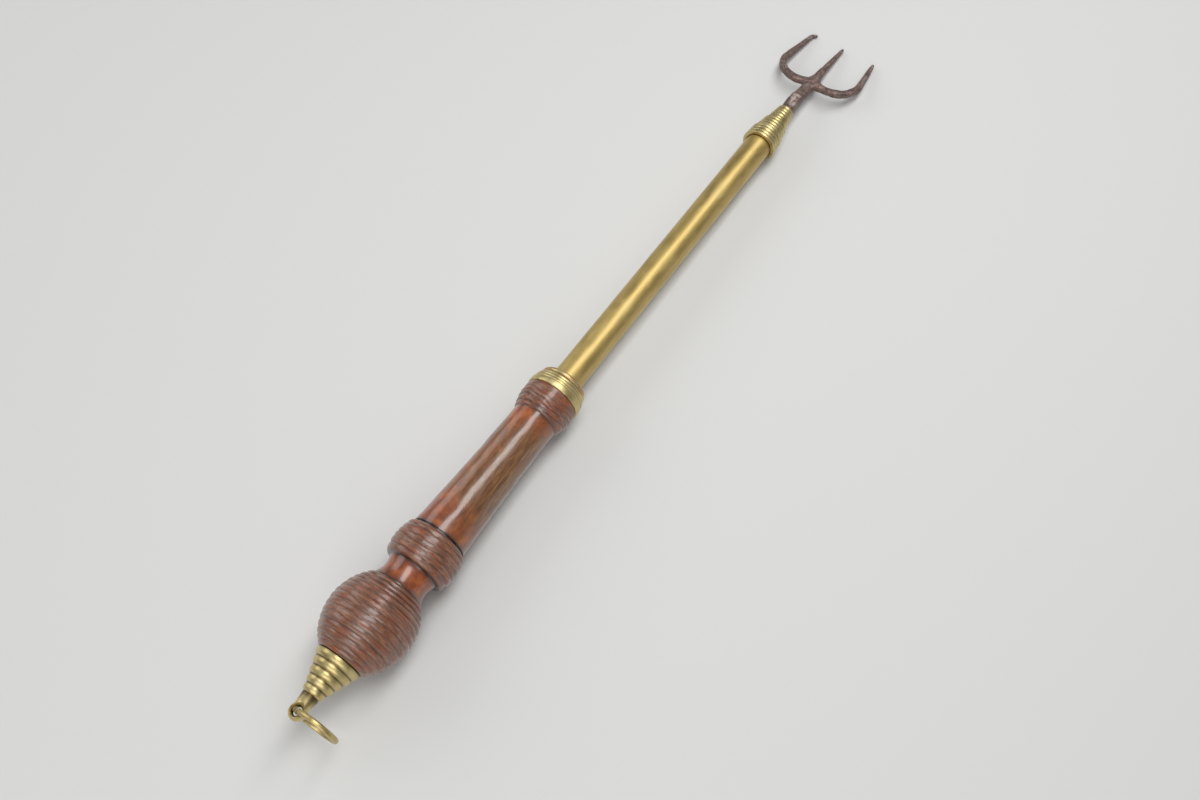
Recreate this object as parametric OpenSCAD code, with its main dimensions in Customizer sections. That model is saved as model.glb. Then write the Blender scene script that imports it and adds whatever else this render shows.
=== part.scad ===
// Telescopic toasting fork, modelled closed, as it lies on a table.
// Millimetres. +X runs along the tubes towards the prongs and +Z is up. The origin is under the middle of the
// closed fork, at the height of the surface that the ball of the handle rests on.

/* [Handle] */
// Width of the reeded ball
ball_w = 34.6; // [30:0.2:40]
// Length that the ball would have as a whole egg
ball_l = 40; // [37:0.5:46]
// Number of ridges round the ball
ball_ridges = 14; // [12:1:16]
// Width of the ball where the smooth neck starts
neck_start_w = 22.6; // [21:0.2:25]
// Width of the neck at its waist
neck_w = 18.8; // [16:0.2:20]
// Length of the smooth neck
neck_l = 9.1; // [8:0.1:11]
// Width of the reeded middle band at its fullest
band_w = 27.8; // [26:0.2:31]
// Width of the middle band at its two ends
band_end_w = 24.8; // [23.5:0.2:26]
// Length of the middle band
band_l = 14.6; // [12:0.1:17]
// Number of ridges on the middle band
band_ridges = 6; // [5:1:7]
// Width of the cut groove in front of the middle band
groove_w = 0.9; // [0.6:0.1:1.4]
// Depth of that groove below the grip
groove_depth = 0.6; // [0.3:0.1:1]
// Width of the grip at the middle band
grip_rear_w = 22.8; // [21:0.2:24]
// Width of the grip at the front band
grip_front_w = 19; // [18:0.2:20.6]
// Length of the smooth grip
grip_l = 61.3; // [50:0.5:80]
// Width of the reeded front band at its fullest
front_band_w = 23.6; // [22.4:0.2:26]
// Length of the front band
front_band_l = 12; // [10:0.2:14]
// Number of ridges on the front band
front_band_ridges = 5; // [4:1:6]
// How far a ridge stands above the line between it and the next
ridge_depth = 0.38; // [0.2:0.02:0.5]

/* [Finial and ring] */
// Width of the largest step of the finial
finial_w = 18.4; // [17.6:0.2:19]
// Width of the smallest step of the finial
finial_small_w = 9.2; // [8.4:0.2:11]
// Number of steps on the finial
finial_steps = 5; // [4:1:6]
// Length of one step
step_l = 3; // [2.6:0.1:3.4]
// Width of the neck behind the lug
lug_neck_w = 5.8; // [5:0.1:6.2]
// Length of that neck
lug_neck_l = 3; // [2.4:0.1:4]
// Width of the rounded lug
lug_w = 6.8; // [6.6:0.1:8]
// Width of the eye at its narrowest, in the middle of the lug
eye_w = 3.4; // [3:0.1:3.6]
// Length of the straight part in the middle of the eye
eye_land = 0.6; // [0.4:0.1:0.8]
// Radius of the rounded mouth of the eye
eye_round_r = 3; // [2.6:0.1:3.6]
// Outer width of the hanging ring
ring_w = 18.8; // [17:0.2:24]
// Thickness of the wire of the ring
ring_wire = 2; // [1.6:0.1:2.2]

/* [Ferrule] */
// Width of the plain rear band of the ferrule
ferrule_w = 24; // [23:0.2:26]
// Width of the ferrule at its front edge
ferrule_front_w = 20.6; // [19:0.2:21.4]
// Length of the ferrule
ferrule_l = 9; // [8:0.2:11]
// Length of the plain rear band
ferrule_band_l = 2.6; // [2:0.1:3]
// Number of ribs on the ferrule
ferrule_ribs = 3; // [2:1:4]
// Length of the rounded rim at the front of the ferrule
ferrule_rim_l = 2.2; // [1.8:0.1:2.6]
// Rounding of the edges of the plain rear band
ferrule_ease = 0.35; // [0.2:0.05:0.5]
// How far a rib of turned brass stands above the line between it and the next
rib_depth = 0.28; // [0.16:0.02:0.32]
// Thickness of the front face of the ferrule
ferrule_face = 1.4; // [1:0.1:2]
// Width of the wooden spigot under the ferrule
spigot_w = 18.4; // [16:0.2:18.8]

/* [Tubes] */
// Outer width of the outer tube
outer_tube_w = 12.7; // [12.2:0.1:13.4]
// Wall of the outer tube
outer_wall = 0.8; // [0.6:0.05:0.9]
// Length of the outer tube that shows between ferrule and nose
outer_show_l = 161.2; // [120:1:200]
// Depth of the outer tube inside the wood, from the front shoulder of the wood
outer_depth = 83; // [60:1:84]
// Outer width of the first draw
first_w = 9.8; // [9.4:0.1:10]
// Wall of the first draw
first_wall = 0.7; // [0.5:0.05:0.8]
// Outer width of the second draw
second_w = 7.1; // [6.9:0.05:7.2]
// Wall of the second draw
second_wall = 0.7; // [0.5:0.05:0.8]
// Length of the bush in each mouth
bush_l = 12; // [8:0.5:20]
// Length of the collar on the rear end of each draw
collar_l = 14; // [12:0.5:18]
// Length of the sprung fingers of a collar, behind the end of its draw
finger_l = 8; // [5:0.5:9]
// Width of the saw cuts between the fingers
finger_cut = 0.8; // [0.5:0.1:1.2]
// Thickness of the plug in the rear end of the outer tube
plug_l = 8; // [5:0.5:12]
// Space between the plug and the first draw when closed
rear_space = 2; // [1:0.5:5]
// How much further forward the second draw ends than the first
draw_step = 4; // [2:0.5:8]
// Width of the tie rod through the handle
rod_w = 4; // [3:0.1:4.6]
// Depth of the tie rod in the finial
rod_in_finial = 9; // [6:0.5:11]

/* [Nose cone] */
// Width of the nose cone at its lip
nose_w = 16.7; // [16:0.1:18]
// Width of the nose cone at its front end
nose_front_w = 8.2; // [7.8:0.1:8.8]
// Length of the nose cone
nose_l = 26.8; // [24:0.2:32]
// How far the lip reaches over the mouth of the outer tube
nose_cover = 2.4; // [1.6:0.1:3.4]
// Thickness of the end wall in front of the second draw
nose_end_wall = 8.5; // [7:0.1:9.4]

/* [Fork] */
// Width of the squarish stem
stem_w = 6.4; // [6:0.1:7]
// Length of the squarish stem in front of the nose cone
stem_l = 12; // [9:0.5:16]
// Width of the round tang inside the second draw
tang_w = 5.6; // [5.4:0.05:5.6]
// Length of the tang inside the second draw
tang_l = 16; // [13:0.5:24]
// Width of the rivet through the tang
rivet_w = 1.6; // [1.2:0.1:2]
// Angle by which the fork is bent down from the tubes
fork_droop = 8; // [0:0.5:12]
// Distance between the centre lines of the outer prongs at their widest
fork_spread = 40.6; // [34:0.2:48]
// Distance between the centre lines of the outer prongs at their tips
tip_spread = 35.8; // [30:0.2:40]
// Radius of the bend at the foot of an outer prong
bend_r = 10.8; // [8:0.2:12]
// How far the cross bar leans back towards the handle
bar_lean = 18; // [10:1:24]
// Distance from the nose cone to the middle of the crotch
crotch_at = 28; // [25:0.5:34]
// Length of the middle prong from the middle of the crotch
prong_l = 35.5; // [28:0.5:46]
// Width of a prong at its foot
prong_w = 3.6; // [3:0.1:4.4]
// Thickness of a prong at its foot
prong_t = 3.2; // [2.4:0.1:3.6]
// Width of a prong close to its tip
prong_tip_w = 1.8; // [1.4:0.1:2.4]
// Width of the forged swelling at the crotch
crotch_w = 8.6; // [7:0.2:10]
// Length over which the bar swells into the crotch
swell_l = 7; // [5:0.2:8]
// Length of the step in front of the squarish stem
stem_step_l = 1.4; // [0.8:0.1:2.4]
// Length of the pointed end of a prong
point_l = 3; // [2:0.1:5]
// Share of the width of a prong that is left at its very tip
point_share = 0.35; // [0.2:0.05:0.6]
// How much further the left prong reaches than the middle one, and the middle one than the right
tip_stagger = 2; // [0:0.1:3]
// Length of the bent point on the left prong
bent_point_l = 3.2; // [1:0.1:4]
// Angle of the bent point on the left prong
bent_point_angle = 48; // [10:1:60]

/* [Clearances] */
// Gap all round between a draw and its bush, and between a collar and its tube
slide_gap = 0.05; // [0.03:0.01:0.1]
// Gap all round between pieces that are pressed, soldered or screwed together
press_gap = 0.02; // [0.01:0.01:0.04]
// Gap between the nose cone and the mouth of the outer tube
free_gap = 0.3; // [0.25:0.05:0.5]
// Gap left between the wire of the ring and the eye that it hangs in
ring_gap = 0.15; // [0.1:0.05:0.3]

/* [Hidden] */
$fn = 72;

// Stations along the axis, counted from the rear face of the wood
ball_r = ball_w / 2;
ball_half_l = ball_l / 2;
ball_x = ball_half_l * sqrt(1 - pow(finial_w / ball_w, 2));
neck_x = ball_x + ball_half_l * sqrt(1 - pow(neck_start_w / ball_w, 2));
band_x = neck_x + neck_l;
grip_x = band_x + band_l + groove_w;
front_band_x = grip_x + grip_l;
shoulder_x = front_band_x + front_band_l;
ferrule_end_x = shoulder_x + ferrule_l;
mouth_x = ferrule_end_x + outer_show_l;
tube_rear_x = shoulder_x - outer_depth;
spigot_end_x = ferrule_end_x - ferrule_face - press_gap;

// Bores of the tubes
outer_bore = outer_tube_w - 2 * outer_wall;
first_bore = first_w - 2 * first_wall;
second_bore = second_w - 2 * second_wall;

// Rear ends of the collars and of the draws
first_rear_x = tube_rear_x + plug_l + rear_space;
second_rear_x = first_rear_x + draw_step;

// Nose cone and fork
nose_x = mouth_x - nose_cover;
nose_end_x = nose_x + nose_l;
second_end_x = nose_end_x - nose_end_wall;
stem_x = nose_end_x + press_gap;
stem_bend = stem_w * 0.75;
hinge_x = stem_x + stem_bend;
crotch_s = crotch_at - stem_bend;
bend_y = fork_spread / 2 - bend_r;
bend_s = crotch_s + bend_r * cos(bar_lean) - (bend_y - bend_r * sin(bar_lean)) * tan(bar_lean);
tip_s = crotch_s + prong_l;
rivet_x = second_end_x - tang_l / 2;

// Finial, counted backwards from the wood
finial_neck_x = -finial_steps * step_l;
eye_x = finial_neck_x - lug_neck_l - lug_w / 2;
finial_end_x = eye_x - lug_w / 2;

// The wire lies between two rounded edges of the eye, the upper one on the right and the lower one on the
// left. In the plane of the ring each is a circle, and eye_reach is half the distance between their centres.
ring_r = (ring_w - ring_wire) / 2;
eye_side = eye_w / 2 + eye_round_r;
eye_lean = atan2(eye_land / 2, eye_side);
eye_reach = norm([eye_side, eye_land / 2]);
wire_reach = eye_round_r + ring_wire / 2 + ring_gap;
ring_along = -ring_r * wire_reach / eye_reach;
ring_across = -sqrt(pow(ring_r - wire_reach, 2) - pow(ring_along + eye_reach, 2));
ring_y = ring_along * cos(eye_lean) + ring_across * sin(eye_lean);
ring_z = ring_across * cos(eye_lean) - ring_along * sin(eye_lean);

// Middle of the closed fork
fork_end_x = hinge_x + (tip_s + tip_stagger) * cos(fork_droop);
middle_x = (finial_end_x + fork_end_x) / 2;

function mix(a, b, k) = a + (b - a) * k;

// Direction square to a curve at the share k of its length, away from the axis
function curve_normal(curve, k) =
    let (e = 0.001, along = curve(k + e) - curve(k - e))
    [-along[1], along[0]] / norm(along);

// Points of a curve that is cut into rounded ridges, whose crests touch it and whose valleys lie this deep
function ridged(curve, count, depth) =
    let (steps = 6)
    [for (i = [0:count - 1], j = [0:(i == count - 1 ? steps : steps - 1)])
        let (k = (i + j / steps) / count, across = 2 * j / steps - 1)
        curve(k) - depth * pow(across, 2) * curve_normal(curve, k)];

// A half outline above the axis, closed along the axis between its first and its last point
function closed(points) =
    concat([[points[0][0], 0]], points, [[points[len(points) - 1][0], 0]]);

// Puts what is drawn along the axis in its place over the table
module placed() {
    translate([-middle_x, 0, ball_r])
        children();
}

// Turns a half outline, given as points [place along X, radius], into a solid about the axis
module turned(points) {
    rotate([0, 90, 0])
        rotate_extrude()
            polygon([for (p = closed(points)) [p[1], p[0]]]);
}

module axis_cylinder(from_x, to_x, w) {
    translate([from_x, 0, 0])
        rotate([0, 90, 0])
            cylinder(h = to_x - from_x, d = w);
}

module axis_tube(from_x, to_x, outer_w, inner_w) {
    difference() {
        axis_cylinder(from_x, to_x, outer_w);
        axis_cylinder(from_x - 1, to_x + 1, inner_w);
    }
}

/* Wooden handle */

// Angle on the egg-shaped ball, from its widest place, at which its radius has fallen to this one
function ball_angle(r) = acos(r / ball_r);

ball_from = -ball_angle(finial_w / 2);
ball_to = ball_angle(neck_start_w / 2);

ball_curve = function (k)
    let (a = mix(ball_from, ball_to, k))
    [ball_x + ball_half_l * sin(a), ball_r * cos(a)];

// The waist lies a little in front of the middle of the neck
neck_curve = function (k)
    let (waist_at = 0.56, shoulder = neck_start_w / 2 - ridge_depth)
    [neck_x + neck_l * k, mix(neck_w / 2, shoulder, pow((k - waist_at) / waist_at, 2))];

band_curve = function (k)
    [band_x + band_l * k, mix(band_w, band_end_w, pow(2 * k - 1, 2)) / 2];

// The grip narrows quickly at first and then hardly at all
grip_curve = function (k)
    [grip_x + grip_l * k, mix(grip_front_w, grip_rear_w, pow(1 - k, 1.6)) / 2];

front_band_curve = function (k)
    let (start_w = grip_front_w + 2 * ridge_depth)
    [front_band_x + front_band_l * k,
        mix(front_band_w, start_w, pow(max(0, 1 - 1.7 * k), 1.5)) / 2];

module handle() {
    neck_steps = 10;
    grip_steps = 10;
    groove_r = grip_rear_w / 2 - groove_depth;
    groove_from = band_x + band_l;
    outline = concat(
        [[0, finial_w / 2 - ridge_depth]],
        [for (p = ridged(ball_curve, ball_ridges, ridge_depth)) if (p[0] > 0 && p[0] < neck_x) p],
        [for (i = [0:neck_steps]) neck_curve(i / neck_steps)],
        [for (p = ridged(band_curve, band_ridges, ridge_depth)) if (p[0] > band_x && p[0] < groove_from) p],
        [[groove_from, groove_r], [grip_x, groove_r]],
        [for (i = [0:grip_steps - 1]) grip_curve(i / grip_steps)],
        ridged(front_band_curve, front_band_ridges, ridge_depth),
        [[shoulder_x, spigot_w / 2], [spigot_end_x, spigot_w / 2]]);
    color("sienna")
        placed()
            difference() {
                turned(outline);
                axis_cylinder(tube_rear_x - press_gap, spigot_end_x + 1, outer_tube_w + 2 * press_gap);
                axis_cylinder(-1, tube_rear_x + 1, rod_w + 2 * press_gap);
            }
}

/* Finial and hanging ring */

// Half round lug, neck and then the steps, which grow towards the wood
function finial_outline() =
    let (
        lug_r = lug_w / 2,
        lug_steps = 16,
        neck_angle = asin(lug_neck_w / lug_w),
        grow = (finial_w - finial_small_w) / 2 / (finial_steps - 1),
        steps_l = finial_steps * step_l,
        steps_curve = function (k)
            [finial_neck_x + steps_l * k, (finial_small_w - grow) / 2 + grow * finial_steps * k - grow / 4])
    concat(
        [for (i = [0:lug_steps])
            let (a = mix(180, neck_angle, i / lug_steps))
            [eye_x + lug_r * cos(a), lug_r * sin(a)]],
        [[finial_neck_x, lug_neck_w / 2]],
        [for (p = ridged(steps_curve, finial_steps, step_l * 0.27))
            if (p[0] > finial_neck_x && p[0] < -press_gap) p],
        [[-press_gap, finial_w / 2 - step_l * 0.1]]);

// The eye is straight in the middle and rounded outwards at both mouths
module eye_hole() {
    half = lug_w / 2;
    rotate_extrude()
        difference() {
            translate([0, -half])
                square([eye_side, 2 * half]);
            for (z = [-eye_land / 2, eye_land / 2])
                translate([eye_side, z])
                    circle(eye_round_r);
            translate([eye_w / 2, -eye_land / 2])
                square([eye_round_r + 1, eye_land]);
        }
}

module finial() {
    color("goldenrod")
        placed()
            difference() {
                turned(finial_outline());
                translate([eye_x, 0, 0])
                    eye_hole();
                axis_cylinder(-rod_in_finial - press_gap, 1, rod_w + 2 * press_gap);
            }
}

module hanging_ring() {
    color("goldenrod")
        placed()
            translate([eye_x, ring_y, ring_z])
                rotate([0, 90, 0])
                    rotate_extrude()
                        translate([ring_r, 0])
                            circle(d = ring_wire);
}

module tie_rod() {
    color("dimgray")
        placed()
            axis_cylinder(-rod_in_finial, tube_rear_x + plug_l - 1, rod_w);
}

/* Ferrule */

// Plain rear band, fine ribs and a rounded rim at the front
function ferrule_outline() =
    let (
        ribs_from = shoulder_x + ferrule_band_l,
        ribs_l = ferrule_l - ferrule_band_l - ferrule_rim_l,
        rim_from = ribs_from + ribs_l,
        band_r = ferrule_w / 2,
        rib_r = mix(ferrule_w, ferrule_front_w, 0.2) / 2,
        rim_r = ferrule_front_w / 2,
        ribs_curve = function (k) [ribs_from + ribs_l * k, mix(rib_r, rim_r + rib_depth, pow(k, 2))],
        rim_curve = function (k) [rim_from + ferrule_rim_l * k, rim_r])
    concat(
        [[shoulder_x + press_gap, band_r - ferrule_ease], [shoulder_x + ferrule_ease, band_r],
         [ribs_from - ferrule_ease, band_r]],
        [for (p = ridged(ribs_curve, ferrule_ribs, rib_depth)) if (p[0] > ribs_from && p[0] < rim_from) p],
        ridged(rim_curve, 1, ferrule_rim_l * 0.3));

module ferrule() {
    color("goldenrod")
        placed()
            difference() {
                turned(ferrule_outline());
                axis_cylinder(shoulder_x - 1, ferrule_end_x - ferrule_face, spigot_w + 2 * press_gap);
                axis_cylinder(shoulder_x, ferrule_end_x + 1, outer_tube_w + 2 * press_gap);
            }
}

/* Tubes, bushes and collars */

module outer_tube() {
    color("darkgoldenrod")
        placed()
            axis_tube(tube_rear_x, mouth_x, outer_tube_w, outer_bore);
}

module tube_plug() {
    color("goldenrod")
        placed()
            axis_tube(tube_rear_x, tube_rear_x + plug_l, outer_bore - 2 * press_gap, rod_w + 2 * press_gap);
}

module bush(bore, draw_w) {
    axis_tube(mouth_x - bush_l, mouth_x, bore - 2 * press_gap, draw_w + 2 * slide_gap);
}

// A collar slides in the bore and its rear part, behind the draw, is sawn into four fingers
module collar(rear_x, bore, draw_w) {
    difference() {
        axis_tube(rear_x, rear_x + collar_l, bore - 2 * slide_gap, draw_w + 2 * press_gap);
        for (turn = [45, 135])
            rotate([turn, 0, 0])
                translate([rear_x - 1, -bore, -finger_cut / 2])
                    cube([finger_l + 0.5, 2 * bore, finger_cut]);
    }
}

module outer_bush() {
    color("goldenrod")
        placed()
            bush(outer_bore, first_w);
}

module first_draw() {
    color("khaki")
        placed()
            axis_tube(first_rear_x + finger_l, mouth_x, first_w, first_bore);
}

module first_collar() {
    color("goldenrod")
        placed()
            collar(first_rear_x, outer_bore, first_w);
}

module first_bush() {
    color("goldenrod")
        placed()
            bush(first_bore, second_w);
}

module second_draw() {
    color("khaki")
        placed()
            difference() {
                axis_tube(second_rear_x + finger_l, second_end_x, second_w, second_bore);
                rivet_hole();
            }
}

module second_collar() {
    color("goldenrod")
        placed()
            collar(second_rear_x, first_bore, second_w);
}

/* Nose cone */

// Each tier is [share of the length at its rear, share at its front, width there, width here, number of ribs]
nose_tiers = [
    [0, 0.29, nose_w, mix(nose_w, nose_front_w, 0.12), 4],
    [0.29, 0.6, mix(nose_w, nose_front_w, 0.22), mix(nose_w, nose_front_w, 0.52), 4],
    [0.6, 1, mix(nose_w, nose_front_w, 0.64), nose_front_w, 5]];

function nose_tier(tier) =
    let (
        tier_x = nose_x + tier[0] * nose_l,
        tier_l = (tier[1] - tier[0]) * nose_l,
        curve = function (k) [tier_x + tier_l * k, mix(tier[2], tier[3], k) / 2])
    [for (p = ridged(curve, tier[4], rib_depth))
        [max(tier_x, min(tier_x + tier_l, p[0])), p[1]]];

module nose_cone() {
    color("goldenrod")
        placed()
            difference() {
                turned([for (tier = nose_tiers) each nose_tier(tier)]);
                axis_cylinder(nose_x - 1, mouth_x + free_gap, outer_tube_w + 2 * free_gap);
                axis_cylinder(nose_x, second_end_x + press_gap, second_w + 2 * press_gap);
                axis_cylinder(nose_x, nose_end_x + 1, tang_w + 2 * press_gap);
            }
}

module rivet_hole() {
    translate([rivet_x, 0, 0])
        rotate([90, 0, 0])
            cylinder(h = second_w + 2, d = rivet_w + 2 * press_gap, center = true);
}

module fork_rivet() {
    color("gray")
        placed()
            intersection() {
                translate([rivet_x, 0, 0])
                    rotate([90, 0, 0])
                        cylinder(h = second_w, d = rivet_w, center = true);
                axis_cylinder(rivet_x - rivet_w, rivet_x + rivet_w, second_w);
            }
}

/* Forged fork: bars of chamfered section swept along the centre lines of stem, cross bar and prongs */

chamfer_share = 0.6;

// The eight corners of a section with these half sizes, sideways and upwards from its centre
function corners(half_w, half_t) =
    let (c = chamfer_share * min(half_w, half_t))
    [[half_w, -half_t + c], [half_w, half_t - c], [half_w - c, half_t], [-half_w + c, half_t],
     [-half_w, half_t - c], [-half_w, -half_t + c], [-half_w + c, -half_t], [half_w - c, -half_t]];

function loop(station) =
    [for (q = corners(station[3], station[4])) station[0] + q[0] * station[1] + q[1] * station[2]];

module bar(stations) {
    sides = 8;
    last = len(stations) - 1;
    points = [for (s = stations) each loop(s)];
    walls = [for (i = [0:last - 1], j = [0:sides - 1])
        let (a = i * sides + j, b = i * sides + (j + 1) % sides)
        each [[a, a + sides, b], [b, a + sides, b + sides]]];
    start = [for (j = [1:sides - 2]) [0, j, j + 1]];
    end = [for (j = [1:sides - 2]) [last * sides, last * sides + j + 1, last * sides + j]];
    polyhedron(points, concat(walls, start, end));
}

// A place on the bent fork: s along it from the bend, y to the left
function fork_tilt(s) = s < 0 ? 0 : s == 0 ? fork_droop / 2 : fork_droop;
function fork_at(s, y) = s <= 0 ? [hinge_x + s, y, 0]
    : [hinge_x + s * cos(fork_droop), y, -s * sin(fork_droop)];
function fork_up(s) = [sin(fork_tilt(s)), 0, cos(fork_tilt(s))];

// Stem and middle prong, each station [distance from the bend, half width, half thickness]
module centre_bar() {
    half = stem_w / 2;
    foot = prong_w / 2;
    flat = prong_t / 2;
    tip = prong_tip_w / 2;
    stem_end = stem_l - stem_bend;
    profile = [
        [-stem_bend, half * 0.9, half * 0.9],
        [-stem_bend * 0.83, half, half],
        [0, half, half],
        [stem_end, half, half * 0.98],
        [stem_end + stem_step_l, half, flat * 1.45],
        [crotch_s - swell_l, half * 0.94, flat * 1.25],
        [crotch_s - swell_l * 0.37, crotch_w / 2, flat * 1.1],
        [crotch_s + swell_l * 0.17, crotch_w / 2, flat * 1.08],
        [crotch_s + swell_l * 0.57, foot * 1.35, flat * 1.04],
        [crotch_s + swell_l * 1.14, foot * 1.08, flat],
        [mix(crotch_s, tip_s, 0.6), mix(foot, tip, 0.5), mix(flat, tip, 0.5)],
        [tip_s - point_l, tip, tip],
        [tip_s, tip * point_share, tip * point_share]];
    bar([for (p = profile) [fork_at(p[0], 0), [0, 1, 0], fork_up(p[0]), p[1], p[2]]]);
}

bend_to = asin((fork_spread - tip_spread) / 2 / (tip_s - bend_s));
bend_steps = 8;

// Centre line of one outer prong from the crotch, each point [s, y, heading from straight forwards]
function prong_line() =
    let (turn_from = 90 + bar_lean, turn_to = -bend_to)
    concat(
        [for (i = [0:bend_steps])
            let (h = mix(turn_from, turn_to, i / bend_steps))
            [bend_s - bend_r * sin(h), bend_y + bend_r * cos(h), h]],
        [[mix(bend_s, tip_s, 0.5), mix(fork_spread, tip_spread, 0.5) / 2, turn_to]]);

function prong_station(p, side, half_w, half_t) =
    let (h = p[2])
    [fork_at(p[0], side * p[1]),
     [-sin(h) * cos(fork_droop), side * cos(h), sin(h) * sin(fork_droop)], fork_up(1), half_w, half_t];

// One bar makes both outer prongs: from the right tip, through the crotch, to the bent tip on the left
module cross_bar() {
    foot = prong_w / 2;
    flat = prong_t / 2;
    tip = prong_tip_w / 2;
    point = tip * point_share;
    tip_y = tip_spread / 2;
    line = prong_line();
    count = len(line);
    function taper(i, from_size) = mix(from_size, tip, pow(i / (count + 1), 1.5));
    right_s = tip_s - tip_stagger;
    left_s = tip_s + tip_stagger;
    bend_at = left_s - bent_point_l * cos(bent_point_angle);
    bar(concat(
        [prong_station([right_s, tip_y, 0], -1, point, point)],
        [prong_station([right_s - point_l, tip_y, 0], -1, tip, tip)],
        [for (i = [count - 1:-1:0]) prong_station(line[i], -1, taper(i, foot), taper(i, flat))],
        [[fork_at(crotch_s, 0), [-cos(fork_droop), 0, sin(fork_droop)], fork_up(1), foot, flat]],
        [for (i = [0:count - 1]) prong_station(line[i], 1, taper(i, foot), taper(i, flat))],
        [prong_station([bend_at, tip_y, -bent_point_angle / 2], 1, tip, tip)],
        [prong_station([left_s, tip_y - bent_point_l * sin(bent_point_angle), -bent_point_angle], 1,
            point, point)]));
}

module fork() {
    color("rosybrown")
        placed()
            difference() {
                union() {
                    axis_cylinder(second_end_x - tang_l, hinge_x - 1, tang_w);
                    centre_bar();
                    cross_bar();
                }
                rivet_hole();
            }
}

hanging_ring();
finial();
tie_rod();
handle();
ferrule();
outer_tube();
tube_plug();
outer_bush();
first_draw();
first_collar();
first_bush();
second_draw();
second_collar();
nose_cone();
fork();
fork_rivet();
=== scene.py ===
"""Looks of the telescopic toasting fork: turned handle, brass tubes and cone, forged iron fork.

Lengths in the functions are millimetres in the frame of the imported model, and make_piece() turns them to metres.
The pieces are surfaces worked out as whole arrays: rows run along the object and columns run round it.
"""

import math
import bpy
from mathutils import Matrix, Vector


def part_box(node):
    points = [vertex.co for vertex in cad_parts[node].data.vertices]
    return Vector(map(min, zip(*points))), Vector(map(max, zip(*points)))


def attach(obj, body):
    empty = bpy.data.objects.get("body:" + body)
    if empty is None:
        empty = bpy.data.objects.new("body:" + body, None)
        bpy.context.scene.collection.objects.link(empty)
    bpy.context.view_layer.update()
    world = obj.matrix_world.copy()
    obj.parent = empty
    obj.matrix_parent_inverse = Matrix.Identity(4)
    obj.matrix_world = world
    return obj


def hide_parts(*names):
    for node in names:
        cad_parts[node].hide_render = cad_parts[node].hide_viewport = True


bl_info = {
    "name": "Toasting fork looks",
    "version": (1, 0, 0),
    "blender": (4, 5, 0),
    "location": "3D View > Sidebar > Toasting fork",
    "description": "Makes the visible pieces, finishes and stage of a telescopic toasting fork",
    "category": "Object",
}

import bpy
import numpy as np
from bpy.props import FloatProperty, FloatVectorProperty, IntProperty, PointerProperty
from mathutils import Vector

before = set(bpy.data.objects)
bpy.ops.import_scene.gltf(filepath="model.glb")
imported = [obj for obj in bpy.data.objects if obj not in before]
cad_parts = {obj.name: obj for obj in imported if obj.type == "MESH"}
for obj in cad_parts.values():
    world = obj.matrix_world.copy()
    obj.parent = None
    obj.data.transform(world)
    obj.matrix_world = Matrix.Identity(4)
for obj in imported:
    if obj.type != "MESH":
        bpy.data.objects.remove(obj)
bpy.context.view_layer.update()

MM = 0.001
SEED = 11


def linear(colour):
    """Turns an sRGB hex colour to linear red, green and blue with full opacity."""
    parts = [int(colour[i : i + 2], 16) / 255 for i in (1, 3, 5)]
    return tuple(c / 12.92 if c <= 0.04045 else ((c + 0.055) / 1.055) ** 2.4 for c in parts) + (1.0,)


def mm_box(node):
    """Lowest and highest corner of a solid of the frame, in millimetres."""
    low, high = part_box(node)
    return np.array(low) / MM, np.array(high) / MM


def size_prop(name, description, value):
    """A length of the object that a user may change, in millimetres."""
    return FloatProperty(name=name, description=description, default=float(value), min=0.01, max=500.0, precision=2)


def count_prop(name, description, value, low, high):
    """A number of ridges, steps or dents that a user may change."""
    return IntProperty(name=name, description=description, default=value, min=low, max=high)


def angle_prop(name, description, degrees):
    """An angle that a user may change, given in degrees."""
    return FloatProperty(name=name, description=description, default=math.radians(degrees), subtype="ANGLE")


def power_prop(name, description, watts):
    """The power of a lamp that a user may change."""
    return FloatProperty(name=name, description=description, default=watts, unit="POWER")


def colour_prop(name, description, value):
    """A colour that a user may change, written as an sRGB hex value."""
    return FloatVectorProperty(
        name=name, description=description, default=linear(value), size=4, min=0.0, max=1.0, subtype="COLOR"
    )


TUBE_LOW, TUBE_HIGH = mm_box("outer_tube")
WOOD_LOW, WOOD_HIGH = mm_box("handle")
FINIAL_LOW, FINIAL_HIGH = mm_box("finial")
FERRULE_LOW, FERRULE_HIGH = mm_box("ferrule")
NOSE_LOW, NOSE_HIGH = mm_box("nose_cone")
RING_LOW, RING_HIGH = mm_box("hanging_ring")
DRAW_LOW, DRAW_HIGH = mm_box("second_draw")
FORK_LOW, FORK_HIGH = mm_box("fork")
AXIS_Z = (TUBE_LOW[2] + TUBE_HIGH[2]) / 2
TUBE_R = (TUBE_HIGH[2] - TUBE_LOW[2]) / 2
DRAW_R = (DRAW_HIGH[2] - DRAW_LOW[2]) / 2
GAP = 0.02  # Room between a hole and what sits in it
BALL_REST = 17  # Distance from the rear end of the ball to where it touches the floor


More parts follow.
